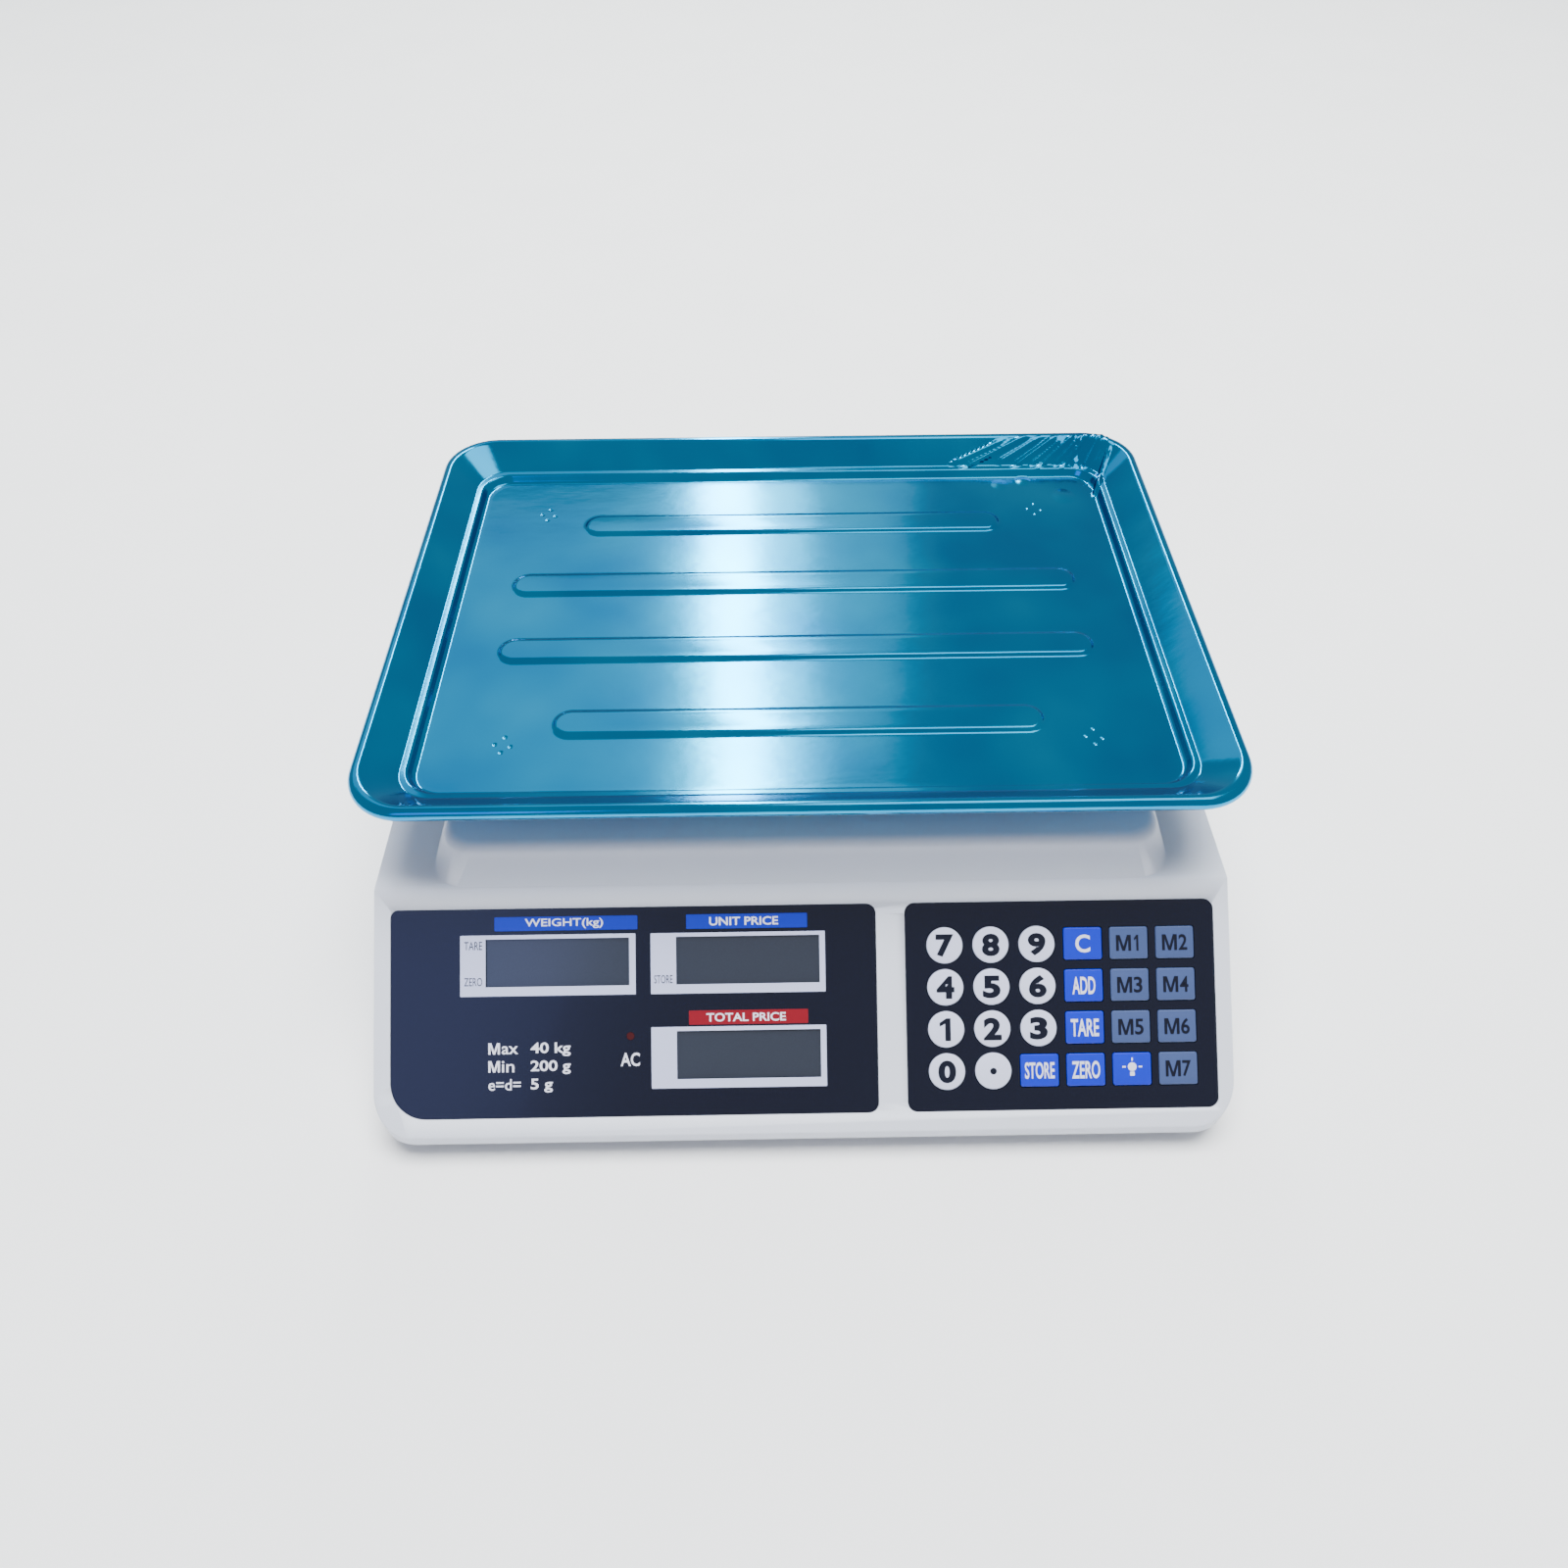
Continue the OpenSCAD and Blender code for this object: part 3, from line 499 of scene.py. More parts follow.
def rounded(points, radii, steps=4):
    """The chain of points with its inner corners rounded to these radii."""
    chain = [points[0]]
    for before, corner, after, radius in zip(points, points[1:], points[2:], radii):
        corner = Vector(corner)
        a, b = (Vector(before) - corner).normalized(), (Vector(after) - corner).normalized()
        half = a.angle(b) / 2
        run = radius / tan(half)
        middle = corner + (a + b).normalized() * radius / sin(half)
        first, last = corner + a * run - middle, corner + b * run - middle
        for i in range(steps + 1):
            spoke = first.slerp(last, i / steps) * radius
            chain.append((middle + spoke)[:])
    return chain + [points[-1]]


# %% Draw the section
# inwards from the edge and down from the rim, in millimetres: wall, ledge, step, floor
SECTION = [(4.93, 0.7), (15.2, 9.7), (18, 10.1), (19.9, 13.5), (22.8, 13.5)]
ROUNDS = [1.6, 1.4, 2.2]
ROLL = 3                           # radius of the rolled rim, in millimetres
roll = arc((ROLL, -ROLL), ROLL, -105, -310, 18)
wall = rounded([(x, -z) for x, z in SECTION], ROUNDS)
section = [(x * MM, z * MM) for x, z in roll + wall[1:]]


def draw_section(name, corner, inwards):
    """The section as a chain of edges at one place on the rim."""
    return chain(name, [corner + inwards * x + Vector((0, 0, rim + z)) for x, z in section])


straight_x = (pan_high.x - pan_low.x) / 2 - CORNER
straight_y = (pan_high.y - pan_low.y) / 2 - CORNER
middle_flat = Vector((pan_middle.x, pan_middle.y, 0))
pieces = []
for turn in range(4):
    # each quarter: one round corner, then the straight side that follows it anticlockwise
    out = Matrix.Rotation(turn * pi / 2, 3, "Z") @ Vector((1, 0, 0))
    side = Matrix.Rotation(turn * pi / 2, 3, "Z") @ Vector((0, 1, 0))
    run = (straight_x, straight_y) if turn % 2 == 0 else (straight_y, straight_x)
    pivot = middle_flat + out * run[0] + side * run[1]
    quarter = draw_section("pan_quarter", pivot + out * CORNER, -out)
    bpy.ops.mesh.spin(steps=12, angle=pi / 2, center=pivot, axis=(0, 0, -1))
    object_mode()
    pieces.append(quarter)
    side_wall = draw_section("pan_side", pivot - side * 2 * run[1] + out * CORNER, -out)
    bpy.ops.mesh.extrude_region_move(TRANSFORM_OT_translate={"value": side * 2 * run[1]})
    object_mode()
    pieces.append(side_wall)
pan = join(pieces, "pan_pressing")
edit_mode()
select_whole()
bpy.ops.mesh.remove_doubles(threshold=0.02 * MM)
object_mode()
print("the pan's border has", len(pan.data.polygons), "faces")

# %% [markdown]
# The spin gave every layer of a corner the same middle, so the floor's corners came out nearly
# square. A press tool has a round corner at the floor too. So each point of a corner is moved
# to a corner of its own radius, which shrinks from the rim's radius to the floor's.

# %% Round the inner corners
FLOOR_ROUND = 10 * MM
floor_inset = section[-1][0]
for vertex in pan.data.vertices:
    offset = vertex.co.xy - pan_middle.xy
    sign = Vector((1 if offset.x > 0 else -1, 1 if offset.y > 0 else -1))
    spoke = Vector((abs(offset.x) - straight_x, abs(offset.y) - straight_y))
    inset = CORNER - spoke.length
    own_round = CORNER + (FLOOR_ROUND - CORNER) * max(inset, 0) / floor_inset
    own_middle = Vector((straight_x, straight_y)) - Vector((1, 1)) * (inset + own_round - CORNER)
    moved = (own_middle + spoke.normalized() * own_round) * sign
    vertex.co.x, vertex.co.y = pan_middle.x + moved.x, pan_middle.y + moved.y
print("corners from", round(CORNER / MM), "mm at the rim to", round(FLOOR_ROUND / MM), "mm at the floor")

# %% [markdown]
# ## The pan: its floor
# The floor carries four long beads, pressed up to stiffen it, and small dimples where the cups
# beneath are spot-welded on. Each bead starts as a flat outline with round ends. Insets with a
# little height draw its soft shoulder, ring by ring. The flat ring left round every outline
# keeps the glossy floor flat right up to it. The rest of the floor is then filled in between.

# %% Beads and dimples
BEAD_WIDTH, BEAD_PITCH = 19 * MM, 43 * MM
BEAD_LONG, BEAD_SHORT = 130 * MM, 101.5 * MM          # half-lengths
DIMPLE = 1.5 * MM
weld_middle = (cup_high - cup_low) / 2 - Vector((16, 16, 0)) * MM
weld_dots = [(0, 3.4), (-3.6, -0.4), (2.8, -1.6), (-0.6, -4.6)]


def pressed(name, middle, half_length, width, steps, segments):
    """An outline with round ends on the floor, pressed up or down in (inset, rise) steps."""
    deselect()
    bpy.ops.mesh.primitive_plane_add(size=1, location=middle)
    piece = named(name)
    edit_mode()
    bpy.ops.transform.resize(value=(2 * half_length, width, 1), center_override=middle)
    bpy.ops.mesh.bevel(offset=width / 2, segments=segments, affect="VERTICES")
    bpy.ops.mesh.remove_doubles(threshold=0.05 * MM)
    for inset, rise in steps:
        bpy.ops.mesh.inset(thickness=inset * MM, depth=rise * MM)
    object_mode()
    return piece


# a soft S-shaped shoulder after 1 mm of flat floor: (inset, rise), in millimetres
HALF_RISE = [(0.45, 0.03), (0.45, 0.1), (0.45, 0.22), (0.45, 0.35)]
RISE = [(1, 0)] + HALF_RISE + HALF_RISE[::-1]
SINK = [(0.35, 0), (0.3, -0.05), (0.3, -0.12), (0.25, -0.06)]
floor_middle = Vector((pan_middle.x, pan_middle.y, floor_top))
marks = []
for row in (-1.5, -0.5, 0.5, 1.5):
    middle = floor_middle + Vector((0, row * BEAD_PITCH, 0))
    length = BEAD_LONG if abs(row) < 1 else BEAD_SHORT
    marks.append(pressed("bead", middle, length, BEAD_WIDTH, RISE, 14))
for x in (-1, 1):
    for y in (-1, 1):
        for dx, dy in weld_dots:
            middle = floor_middle + Vector((x * weld_middle.x + dx * MM, y * weld_middle.y + dy * MM, 0))
            marks.append(pressed("dimple", middle, DIMPLE, 2 * DIMPLE, SINK, 4))
print(len(marks), "beads and dimples; bead height", round(sum(r for _, r in RISE), 2), "mm")

# %% Fill the floor between them
pan = join([pan] + marks, "pan_pressing")
edit_mode()
pick_edges(lambda a, b, faces: len(faces) == 1 and close_to(a.z, floor_top) and close_to(b.z, floor_top))
bpy.ops.mesh.fill(use_beauty=True)
select_whole()
bpy.ops.mesh.normals_make_consistent(inside=False)
object_mode()
floor_faces = [f for f in pan.data.polygons if close_to(f.center.z, floor_top)]
if sum(f.normal.z * f.area for f in floor_faces) < 0:
    pan.data.flip_normals()
modify(pan, "SOLIDIFY", thickness=SHEET, offset=-1, use_even_offset=True, use_quality_normals=True)
print("the pan has", len(pan.data.polygons), "faces, and its floor", len(floor_faces))
modify(pan, "WEIGHTED_NORMAL", keep_sharp=True)
only(pan)
bpy.ops.object.shade_smooth_by_angle(angle=radians(50))
pan.data.materials.append(blue_film)
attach(pan, "pan")
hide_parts("pan")

# %% [markdown]
# ## The pan: loose film in one corner
# In the rear right corner the protective film didn't stretch into the bend. It stands off the
# steel there in narrow creases that fan out from the corner, with a few puffs between them. A
# copy of the pan's upper side is cut down to that corner, sliced into small cells and lifted
# off along its normals, where a crease or a puff is. The rest of it lies just under the
# steel's surface, so the film has no edge there.

# %% The loose film's creases and puffs
CREASE = 1.9 * MM                  # half the width of a crease
FAN_AT = pan_high.xy + Vector((0, 15)) * MM
# each crease: its angle below the rear rim, where it starts and ends from the fan's middle, its height
CREASES = [
    (18.3, 62, 98, 0.9), (20.4, 50, 94, 1.1), (24, 46, 76, 0.7), (28, 38, 70, 1),
    (31.5, 36, 62, 0.7), (34.5, 30, 60, 1), (39, 28, 52, 0.8), (43, 24, 50, 1),
    (49, 21, 44, 0.8), (55, 20, 43, 1.1), (62, 21, 40, 0.8), (68, 24, 60, 1.2),
]
# each puff: how far it lies from the pan's rear right corner, its radius and its height
PUFFS = [
    (-54, -23, 5, 0.8), (-27, -15, 4, 1), (-36, -36, 8, 0.5),
    (-12, -10, 5, 1.1), (-66, -26, 6, 0.4), (-18, -27, 5, 0.7),
]


def swell(off, half):
    """A smooth bump: 1 in the middle, 0 at half its width."""
    return (1 + cos(pi * min(abs(off) / half, 1))) / 2


def film_lift(x, y):
    """How far the film stands off the steel at a place, in millimetres."""
    spoke = FAN_AT - Vector((x, y))
    angle, far = atan2(spoke.y, spoke.x), spoke.length
    lift = 0
    for slant, start, end, height in CREASES:
        middle, half = (start + end) / 2 * MM, (end - start) / 2 * MM
        across = swell(far * (angle - radians(slant)), CREASE)
        lift = max(lift, height * across * min(1, 3 * swell(far - middle, half)))
    for dx, dy, radius, height in PUFFS:
        off = Vector((x - pan_high.x, y - pan_high.y)) / MM - Vector((dx, dy))
        lift = max(lift, height * swell(off.length, radius))
    return lift


print(len(CREASES), "creases and", len(PUFFS), "puffs")

# %% Loose film
CELL = 0.75 * MM
FILM_THICKNESS = 0.05 * MM
UNDER_STEEL = 0.12                 # how far the flat parts lie below the steel's surface, in millimetres
loose_from = pan_high.xy - Vector((100, 56)) * MM
only(pan)
bpy.ops.object.duplicate()
loose = bpy.context.object
loose.name = loose.data.name = "loose_film"
edit_mode()
rim_x, rim_y = pan_high.xy - Vector((4, 4)) * MM
pick_faces(lambda middle, normal: normal.z < 0.15 or middle.z < floor_top - 0.3 * MM
           or middle.x > rim_x or middle.y > rim_y)
bpy.ops.mesh.delete(type="FACE")
for axis, start, end in ((0, loose_from.x, pan_high.x), (1, loose_from.y, pan_high.y)):
    line = Vector((0, 0, 0))
    facing = Vector((axis == 0, axis == 1, 0))
    for i in range(int((end - start) / CELL)):
        line[axis] = start + i * CELL
        select_whole()
        bpy.ops.mesh.bisect(plane_co=line, plane_no=facing, clear_inner=i == 0)
select_whole()
bpy.ops.mesh.quads_convert_to_tris()
bpy.ops.mesh.select_mode(type="VERT")
bpy.ops.mesh.select_all(action="DESELECT")
object_mode()
lifts = [film_lift(v.co.x, v.co.y) for v in loose.data.vertices]
normals = [v.normal.copy() for v in loose.data.vertices]
for vertex, normal, lift in zip(loose.data.vertices, normals, lifts):
    vertex.co += normal * (lift - UNDER_STEEL) * MM
    vertex.select = lift == 0 and (vertex.co.xy - pan_high.xy).length > 70 * MM
edit_mode()
bpy.ops.mesh.delete(type="VERT")
object_mode()
modify(loose, "SOLIDIFY", thickness=FILM_THICKNESS, offset=1)
bpy.ops.object.shade_smooth_by_angle(angle=radians(60))
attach(loose, "pan")
print("the loose film has", len(loose.data.polygons), "faces and lifts up to", round(max(lifts), 2), "mm")

# %% [markdown]
# ## The upper housing: the body
# The housing is one moulding: a low body whose front slopes and whose rear leans, with a deck
# raised on top. It is cut from a block as a pattern maker would do it. The upright corners are
# rounded first, then the slopes are cut by bisecting, then the new rims are rounded. The same
# steps with all faces moved inwards give the hollow, so the wall is even all over.

# %% Sizes of the housing
upper_low, upper_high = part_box("upper_housing")
WALL = 2.5 * MM
CORNER_ROUND = 15 * MM             # the upright corners
RIM_ROUND = 3.5 * MM               # the rims of slope, shoulder and deck
SHOULDER = 72 * MM                 # height of the shoulder in front of the deck
DECK_HALF, DECK_FRONT, DECK_ROUND = 146 * MM, -82 * MM, 12 * MM
deck_lean = radians(22)
slope_out, rear_out = front.col[2].xyz, rear.col[2].xyz
deck_cos, deck_sin = cos(deck_lean), sin(deck_lean)
deck_out = [Vector((x * deck_cos, y * deck_cos, deck_sin)) for x, y in ((0, -1), (1, 0), (-1, 0))]
deck_at = [Vector((x, y, SHOULDER)) for x, y in ((0, DECK_FRONT), (DECK_HALF, 0), (-DECK_HALF, 0))]


def cut_off(point, outward):
    """In edit mode, cuts away all that lies outside a plane and closes the cut."""
    select_whole()
    bpy.ops.mesh.bisect(plane_co=point, plane_no=outward, clear_outer=True, use_fill=True)


def ease_rims(above, width, angle=20):
    """In edit mode, rounds the edges above a height where two faces meet at more than an angle."""
    pick_edges(lambda a, b, faces: min(a.z, b.z) > above and len(faces) == 2
               and faces[0].angle(faces[1]) > radians(angle))
    bpy.ops.mesh.bevel(offset=width, segments=5, affect="EDGES", clamp_overlap=True)


def body_form(inset, floor):
    """The housing below the deck, with every face moved inwards."""
    step = Vector((inset, inset, 0))
    piece = block("body_form", Vector((upper_low.x, upper_low.y, floor)) + step,
                  Vector((upper_high.x, upper_high.y, SHOULDER - inset)) - step)
    pick_edges(lambda a, b, faces: close_to(a.x, b.x) and close_to(a.y, b.y))
    bpy.ops.mesh.bevel(offset=CORNER_ROUND - inset, segments=12, affect="EDGES")
    cut_off(front.translation - slope_out * inset, slope_out)
    cut_off(rear.translation - rear_out * inset, rear_out)
    ease_rims(floor + MM, max(RIM_ROUND - inset, 0.8 * MM))
    object_mode()
    return piece


def deck_form(inset):
    """The raised deck, reaching a little down into the body."""
    below = SHOULDER - inset - 3 * MM
    piece = block("deck_form", (-DECK_HALF * 1.1, DECK_FRONT * 1.1, below),
                  (DECK_HALF * 1.1, upper_high.y, upper_high.z - inset))
    for point, outward in zip(deck_at, deck_out):
        cut_off(point - outward * inset, outward)
    cut_off(rear.translation - rear_out * inset, rear_out)
    pick_edges(lambda a, b, faces: abs(a.z - b.z) > 5 * MM)
    bpy.ops.mesh.bevel(offset=DECK_ROUND - inset, segments=8, affect="EDGES")
    ease_rims(below + MM, max(RIM_ROUND - inset, 0.8 * MM))
    object_mode()
    return piece


# %% Join, hollow and cut
def combine(piece, other, operation):
    """Adds or cuts away another solid, which is used up."""
    modify(piece, "BOOLEAN", operation=operation, object=other, solver="EXACT")
    only(other)
    bpy.ops.object.delete()
    return piece


housing = combine(body_form(0, upper_low.z), deck_form(0), "UNION")
hollow = combine(body_form(WALL, upper_low.z - 5 * MM), deck_form(WALL), "UNION")
housing = combine(housing, hollow, "DIFFERENCE")
print("the shell has", len(housing.data.polygons), "faces")

# %% [markdown]
# ## The upper housing: recesses and openings
# The films lie in shallow recesses, and behind them are windows for the displays, an opening
# for the keypad and a hole for the charge lamp. Holes in the deck let the four posts of the
# weighing gear through. Each cutter is drawn flat in its face's own frame and carried there.


# %% Cutters
def slab(name, low, high, radii, place=None, segments=8):
    """A plate between two corners. The radii are those of its corners, from the lower left one clockwise."""
    piece = block(name, low, high)
    ends = [(low[0], low[1]), (low[0], high[1]), (high[0], high[1]), (high[0], low[1])]
    for (x, y), radius in zip(ends, radii):
        if radius:
            pick_edges(lambda a, b, faces: all(close_to(p.x, x) and close_to(p.y, y) for p in (a, b)))
            bpy.ops.mesh.bevel(offset=radius, segments=segments, affect="EDGES")
    object_mode()
    return move_into(piece, place) if place else piece


def rod(name, middle, radius, low, high, place=None, vertices=40):
    """A cylinder along z, about a point of x and y."""
    deselect()
    bpy.ops.mesh.primitive_cylinder_add(
        vertices=vertices, radius=radius, depth=high - low, location=(middle[0], middle[1], (low + high) / 2)
    )
    piece = named(name)
    return move_into(piece, place) if place else piece


LEFT_CORNERS, FILM_CORNERS = [14 * MM, 3 * MM, 4 * MM, 4 * MM], [4 * MM] * 4
RECESS = 1 * MM
WINDOW = Vector((56, 18.5, 0)) * MM
front_windows = [Vector(at) * MM for at in ((-95.9, 59.95, 0), (-21.55, 59.95, 0), (-21.55, 23.4, 0))]
rear_windows = [Vector(at) * MM for at in ((-68, 19, 0), (0, 19, 0), (68, 19, 0))]
lamp_low, lamp_high = box_on(front, "charge_lamp")
lamp_at = (lamp_low + lamp_high) / 2
cutters = []
for film, place, corners in (
    ("display_film", front, LEFT_CORNERS),
    ("keypad_film", front, FILM_CORNERS),
    ("rear_film", rear, FILM_CORNERS),
):
    low, high = box_on(place, film)
    gap = Vector((FILM_GAP, FILM_GAP, 0))
    low, high = low - gap, high + gap
    cutters.append(slab("recess", (low.x, low.y, -RECESS), (high.x, high.y, 2 * MM), corners, place))
window_low, window_high = Vector((-30.2, -11.2, -4)) * MM, Vector((30.2, 11.2, 1)) * MM
for windows, place in ((front_windows, front), (rear_windows, rear)):
    for at in windows:
        cutters.append(slab("window", at + window_low, at + window_high, [MM / 2] * 4, place))
keypad_low, keypad_high = Vector((46, 6, -4)) * MM, Vector((155, 73, 1)) * MM
cutters.append(slab("keypad_opening", keypad_low, keypad_high, [3 * MM] * 4, front))
cutters.append(rod("lamp_hole", lamp_at, 2.1 * MM, -4 * MM, MM, front))
platform_low, platform_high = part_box("support_pads")
POST_HOLE, VIAL_HOLE = 10 * MM, 9.05 * MM              # radii
hole_low, hole_high = upper_high.z - 5 * MM, upper_high.z + MM
pad_inset = 13 * MM
for x in (platform_low.x + pad_inset, platform_high.x - pad_inset):
    for y in (platform_low.y + pad_inset, platform_high.y - pad_inset):
        cutters.append(rod("post_hole", (x, y), POST_HOLE, hole_low, hole_high))
vial_low, vial_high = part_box("level_vial")
vial_middle = (vial_low + vial_high) / 2
cutters.append(rod("vial_hole", vial_middle, VIAL_HOLE, hole_low, hole_high))
for fitting in ("switch_body", "mains_inlet"):
    low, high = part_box(fitting)
    low = Vector((upper_high.x - 4 * MM, low.y + 1.8 * MM, low.z + 1.3 * MM))
    high = high - Vector((-MM, 1.8 * MM, 1.3 * MM))
    cutters.append(slab("side_opening", low, high, [0] * 4))
# the soft seam in the strip between the two films
seam = rod("seam", (34.5 * MM, 0.45 * MM), 0.8 * MM, 4 * MM, 76 * MM, vertices=16)
cutters.append(move_into(seam, front @ Matrix(((1, 0, 0, 0), (0, 0, 1, 0), (0, 1, 0, 0), (0, 0, 0, 1)))))
for cutter in cutters:
    housing = combine(housing, cutter, "DIFFERENCE")
housing.name = housing.data.name = "upper_moulding"
print(len(cutters), "cuts leave", len(housing.data.polygons), "faces")

# %% Finish the upper housing
def finish(piece, material, body, *nodes, slot=None, smooth=35):
    """Smooth shading with flat faces kept flat, a material, a body to ride and the nodes it stands for."""
    modify(piece, "WEIGHTED_NORMAL", keep_sharp=True)
    only(piece)
    bpy.ops.object.shade_smooth_by_angle(angle=radians(smooth))
    piece.data.materials.clear()
    piece.data.materials.append(material)
    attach(piece, body)
    if nodes:
        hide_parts(*nodes)
    return piece


finish(housing, white_abs, "housing", "upper_housing", slot="housing_white")

# %% [markdown]
# ## Printing on the films
# Frames, label bars and words are screen-printed on the films. Each is a skin of ink a
# fortieth of a millimetre proud of the film, so that it hides the film cleanly. Words are
# set as text, made into a mesh and then fitted to the width and height of the printed line.

# %% Ink shapes and lettering
FILM_TOP = -FILM_GAP               # the films' tops, below the face
INK = 0.025 * MM


def printed(piece, material, body):
    """Inks a piece and lets it ride on a body."""
    piece.data.materials.append(material)
    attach(piece, body)


def ink_plate(name, low, high, material, place, body="housing", base=FILM_TOP, radius=0.3,
              holes=(), slot="film_black"):
    """A printed area between two corners in millimetres, with square windows left open."""
    low, high = [Vector((p[0], p[1], 0)) * MM for p in (low, high)]
    low.z, high.z = base, base + INK
    plate = slab(name, low, high, [radius * MM] * 4, segments=3)
    for middle in holes:
        half = WINDOW / 2
        cutter = block("hole", middle - half - Vector((0, 0, MM)), middle + half + Vector((0, 0, MM)))
        combine(plate, cutter, "DIFFERENCE")
    move_into(plate, place)
    only(plate)
    printed(plate, material, body)


def lettering(name, words, low, high, material, place, body="housing", base=FILM_TOP, weight=0.02,
              slot="film_black"):
    """Words fitted into a box between two corners in millimetres."""
    deselect()
    bpy.ops.object.text_add()
    piece = bpy.context.object
    piece.data.body = words
    piece.data.offset = weight
    piece.data.extrude = 0.01
    piece.data.resolution_u = 4
    bpy.ops.object.convert(target="MESH")
    piece = named(name)
    points = [v.co for v in piece.data.vertices]
    start = Vector(min(p[i] for p in points) for i in range(3))
    size = Vector(max(p[i] for p in points) for i in range(3)) - start
    scale = Vector(((high[0] - low[0]) * MM / size.x, (high[1] - low[1]) * MM / size.y, INK / size.z))
    corner = Matrix.Translation((low[0] * MM, low[1] * MM, base))
    fit = corner @ Matrix.Diagonal(scale).to_4x4() @ Matrix.Translation(-start)
    move_into(piece, place @ fit)
    printed(piece, material, body)


# %% Drawn letters
def outline_plate(name, points, low, high, material, place, body="housing", base=FILM_TOP,
                  slot="film_black"):
    """A closed outline on a unit square, filled and fitted into a box between two corners in millimetres."""
    size = Vector((high[0] - low[0], high[1] - low[1], 0))
    places = [Vector((low[0] + x * size.x, low[1] + y * size.y, base / MM)) * MM for x, y in points]
    plate = chain(name, places)
    bpy.ops.mesh.edge_face_add()
    bpy.ops.mesh.extrude_region_move(TRANSFORM_OT_translate={"value": (0, 0, INK)})
    select_whole()
    bpy.ops.mesh.normals_make_consistent(inside=False)
    object_mode()
    move_into(plate, place)
    printed(plate, material, body)


# the plain stroke of a 1 with its flag, and an M with upright sides
ONE = [(0.5, 0), (1, 0), (1, 1), (0.62, 1), (0, 0.8), (0, 0.63), (0.5, 0.76)]
CAPITAL_M = [(0, 0), (0.19, 0), (0.19, 0.7), (0.41, 0), (0.59, 0), (0.81, 0.7), (0.81, 0),
             (1, 0), (1, 1), (0.74, 1), (0.5, 0.27), (0.26, 1), (0, 1)]

# %% Front: frames, labels and words
def piece_name(words):
    return words.split("(")[0].replace(" ", "_").lower()


frames = {
    "weight": ((-133.8, 47.1), (-65.4, 70.8)),
    "unit_price": ((-59.5, 47.1), (8.7, 70.7)),
    "total_price": ((-59.5, 10.6), (8.7, 34.3)),
}
for window, (name, corners) in zip(front_windows, frames.items()):
    ink_plate(name + "_frame", *corners, pale_ink, front, holes=[window])
ink_plate("weight_label", (-120.4, 72.4), (-64.6, 77.8), blue_ink, front)
ink_plate("unit_price_label", (-45.5, 72.2), (1.8, 77.8), blue_ink, front)
ink_plate("total_price_label", (-44.8, 35), (1.7, 40.5), red_ink, front)
OVER_INK = FILM_TOP + INK
for words, low, high, weight in (
    ("WEIGHT(kg)", (-108.5, 73.1), (-78, 77.1), 0.012),
    ("UNIT PRICE", (-36.5, 73.4), (-9.5, 76.7), 0.02),
    ("TOTAL PRICE", (-38, 36.1), (-7, 39.4), 0.02),
):
    lettering(piece_name(words) + "_words", words, low, high, white_ink, front, base=OVER_INK, weight=weight)
for words, low, high in (
    ("TARE", (-132.2, 65.2), (-125.2, 68.4)),
    ("ZERO", (-132.2, 51.2), (-125.2, 54.4)),
    ("STORE", (-58.2, 51.2), (-51, 54.4)),
):
    lettering(words.lower() + "_mark", words, low, high, navy_ink, front, base=OVER_INK, weight=0)
LINES = {"max": 24.7, "min": 17.8, "step": 10.8}        # heights of the capacity lines
TALL = 4.4                                              # height of their capitals
for name in ("max", "min"):
    corners = (-122.9, LINES[name]), (-118.4, LINES[name] + TALL)
    outline_plate(name + "_m", CAPITAL_M, *corners, white_ink, front)
lettering("max_word", "ax", (-117.7, 24.7), (-111.3, 27.9), white_ink, front, weight=0.01)
lettering("min_word", "in", (-117.7, 17.8), (-112.8, 22.2), white_ink, front, weight=0.01)
lettering("step_word", "e=d=", (-122.9, 10.8), (-110.3, 15.2), white_ink, front, weight=0.01)
for name, amount, width in (("max", "40 kg", 15.6), ("min", "200 g", 15.6), ("step", "5 g", 8.6)):
    corners = (-106.5, LINES[name] - 1), (-106.5 + width, LINES[name] + TALL)
    lettering(name + "_amount", amount, *corners, white_ink, front)
lettering("mains_mark", "AC", (-71.5, 19.4), (-64, 24.6), white_ink, front)
print("the front is printed")

# %% Rear: the customer's side
for (x, y, _), words in zip(rear_windows, ("TOTAL PRICE", "UNIT PRICE", "WEIGHT(kg)")):
    x, y = x / MM, y / MM
    name = "rear_" + piece_name(words)
    middle = Vector((x, y, 0)) * MM
    ink_plate(name + "_frame", (x - 31, y - 12.2), (x + 31, y + 11.2), pale_ink, rear, holes=[middle])
    colour = red_ink if "TOTAL" in words else blue_ink
    ink_plate(name + "_label", (x - 22, y + 12.4), (x + 22, y + 17.4), colour, rear)
    corners = (x - 13, y + 13.4), (x + 13, y + 16.5)
    lettering(name + "_words", words, *corners, white_ink, rear, base=OVER_INK)

# %% [markdown]
# ## The keys
# Each key is a printed plastic cap with an eased top edge, on a short stem above its dome. One
# round cap and one square cap are modelled about the origin and copied to the places that
# the frame gives. A cap and its legend ride on the key's own body, so they move when pressed.

# %% Two caps
CAP = 2.2 * MM
key_low, key_high = box_on(front, "key_7")
stem_depth = key_low.z - key_high.z


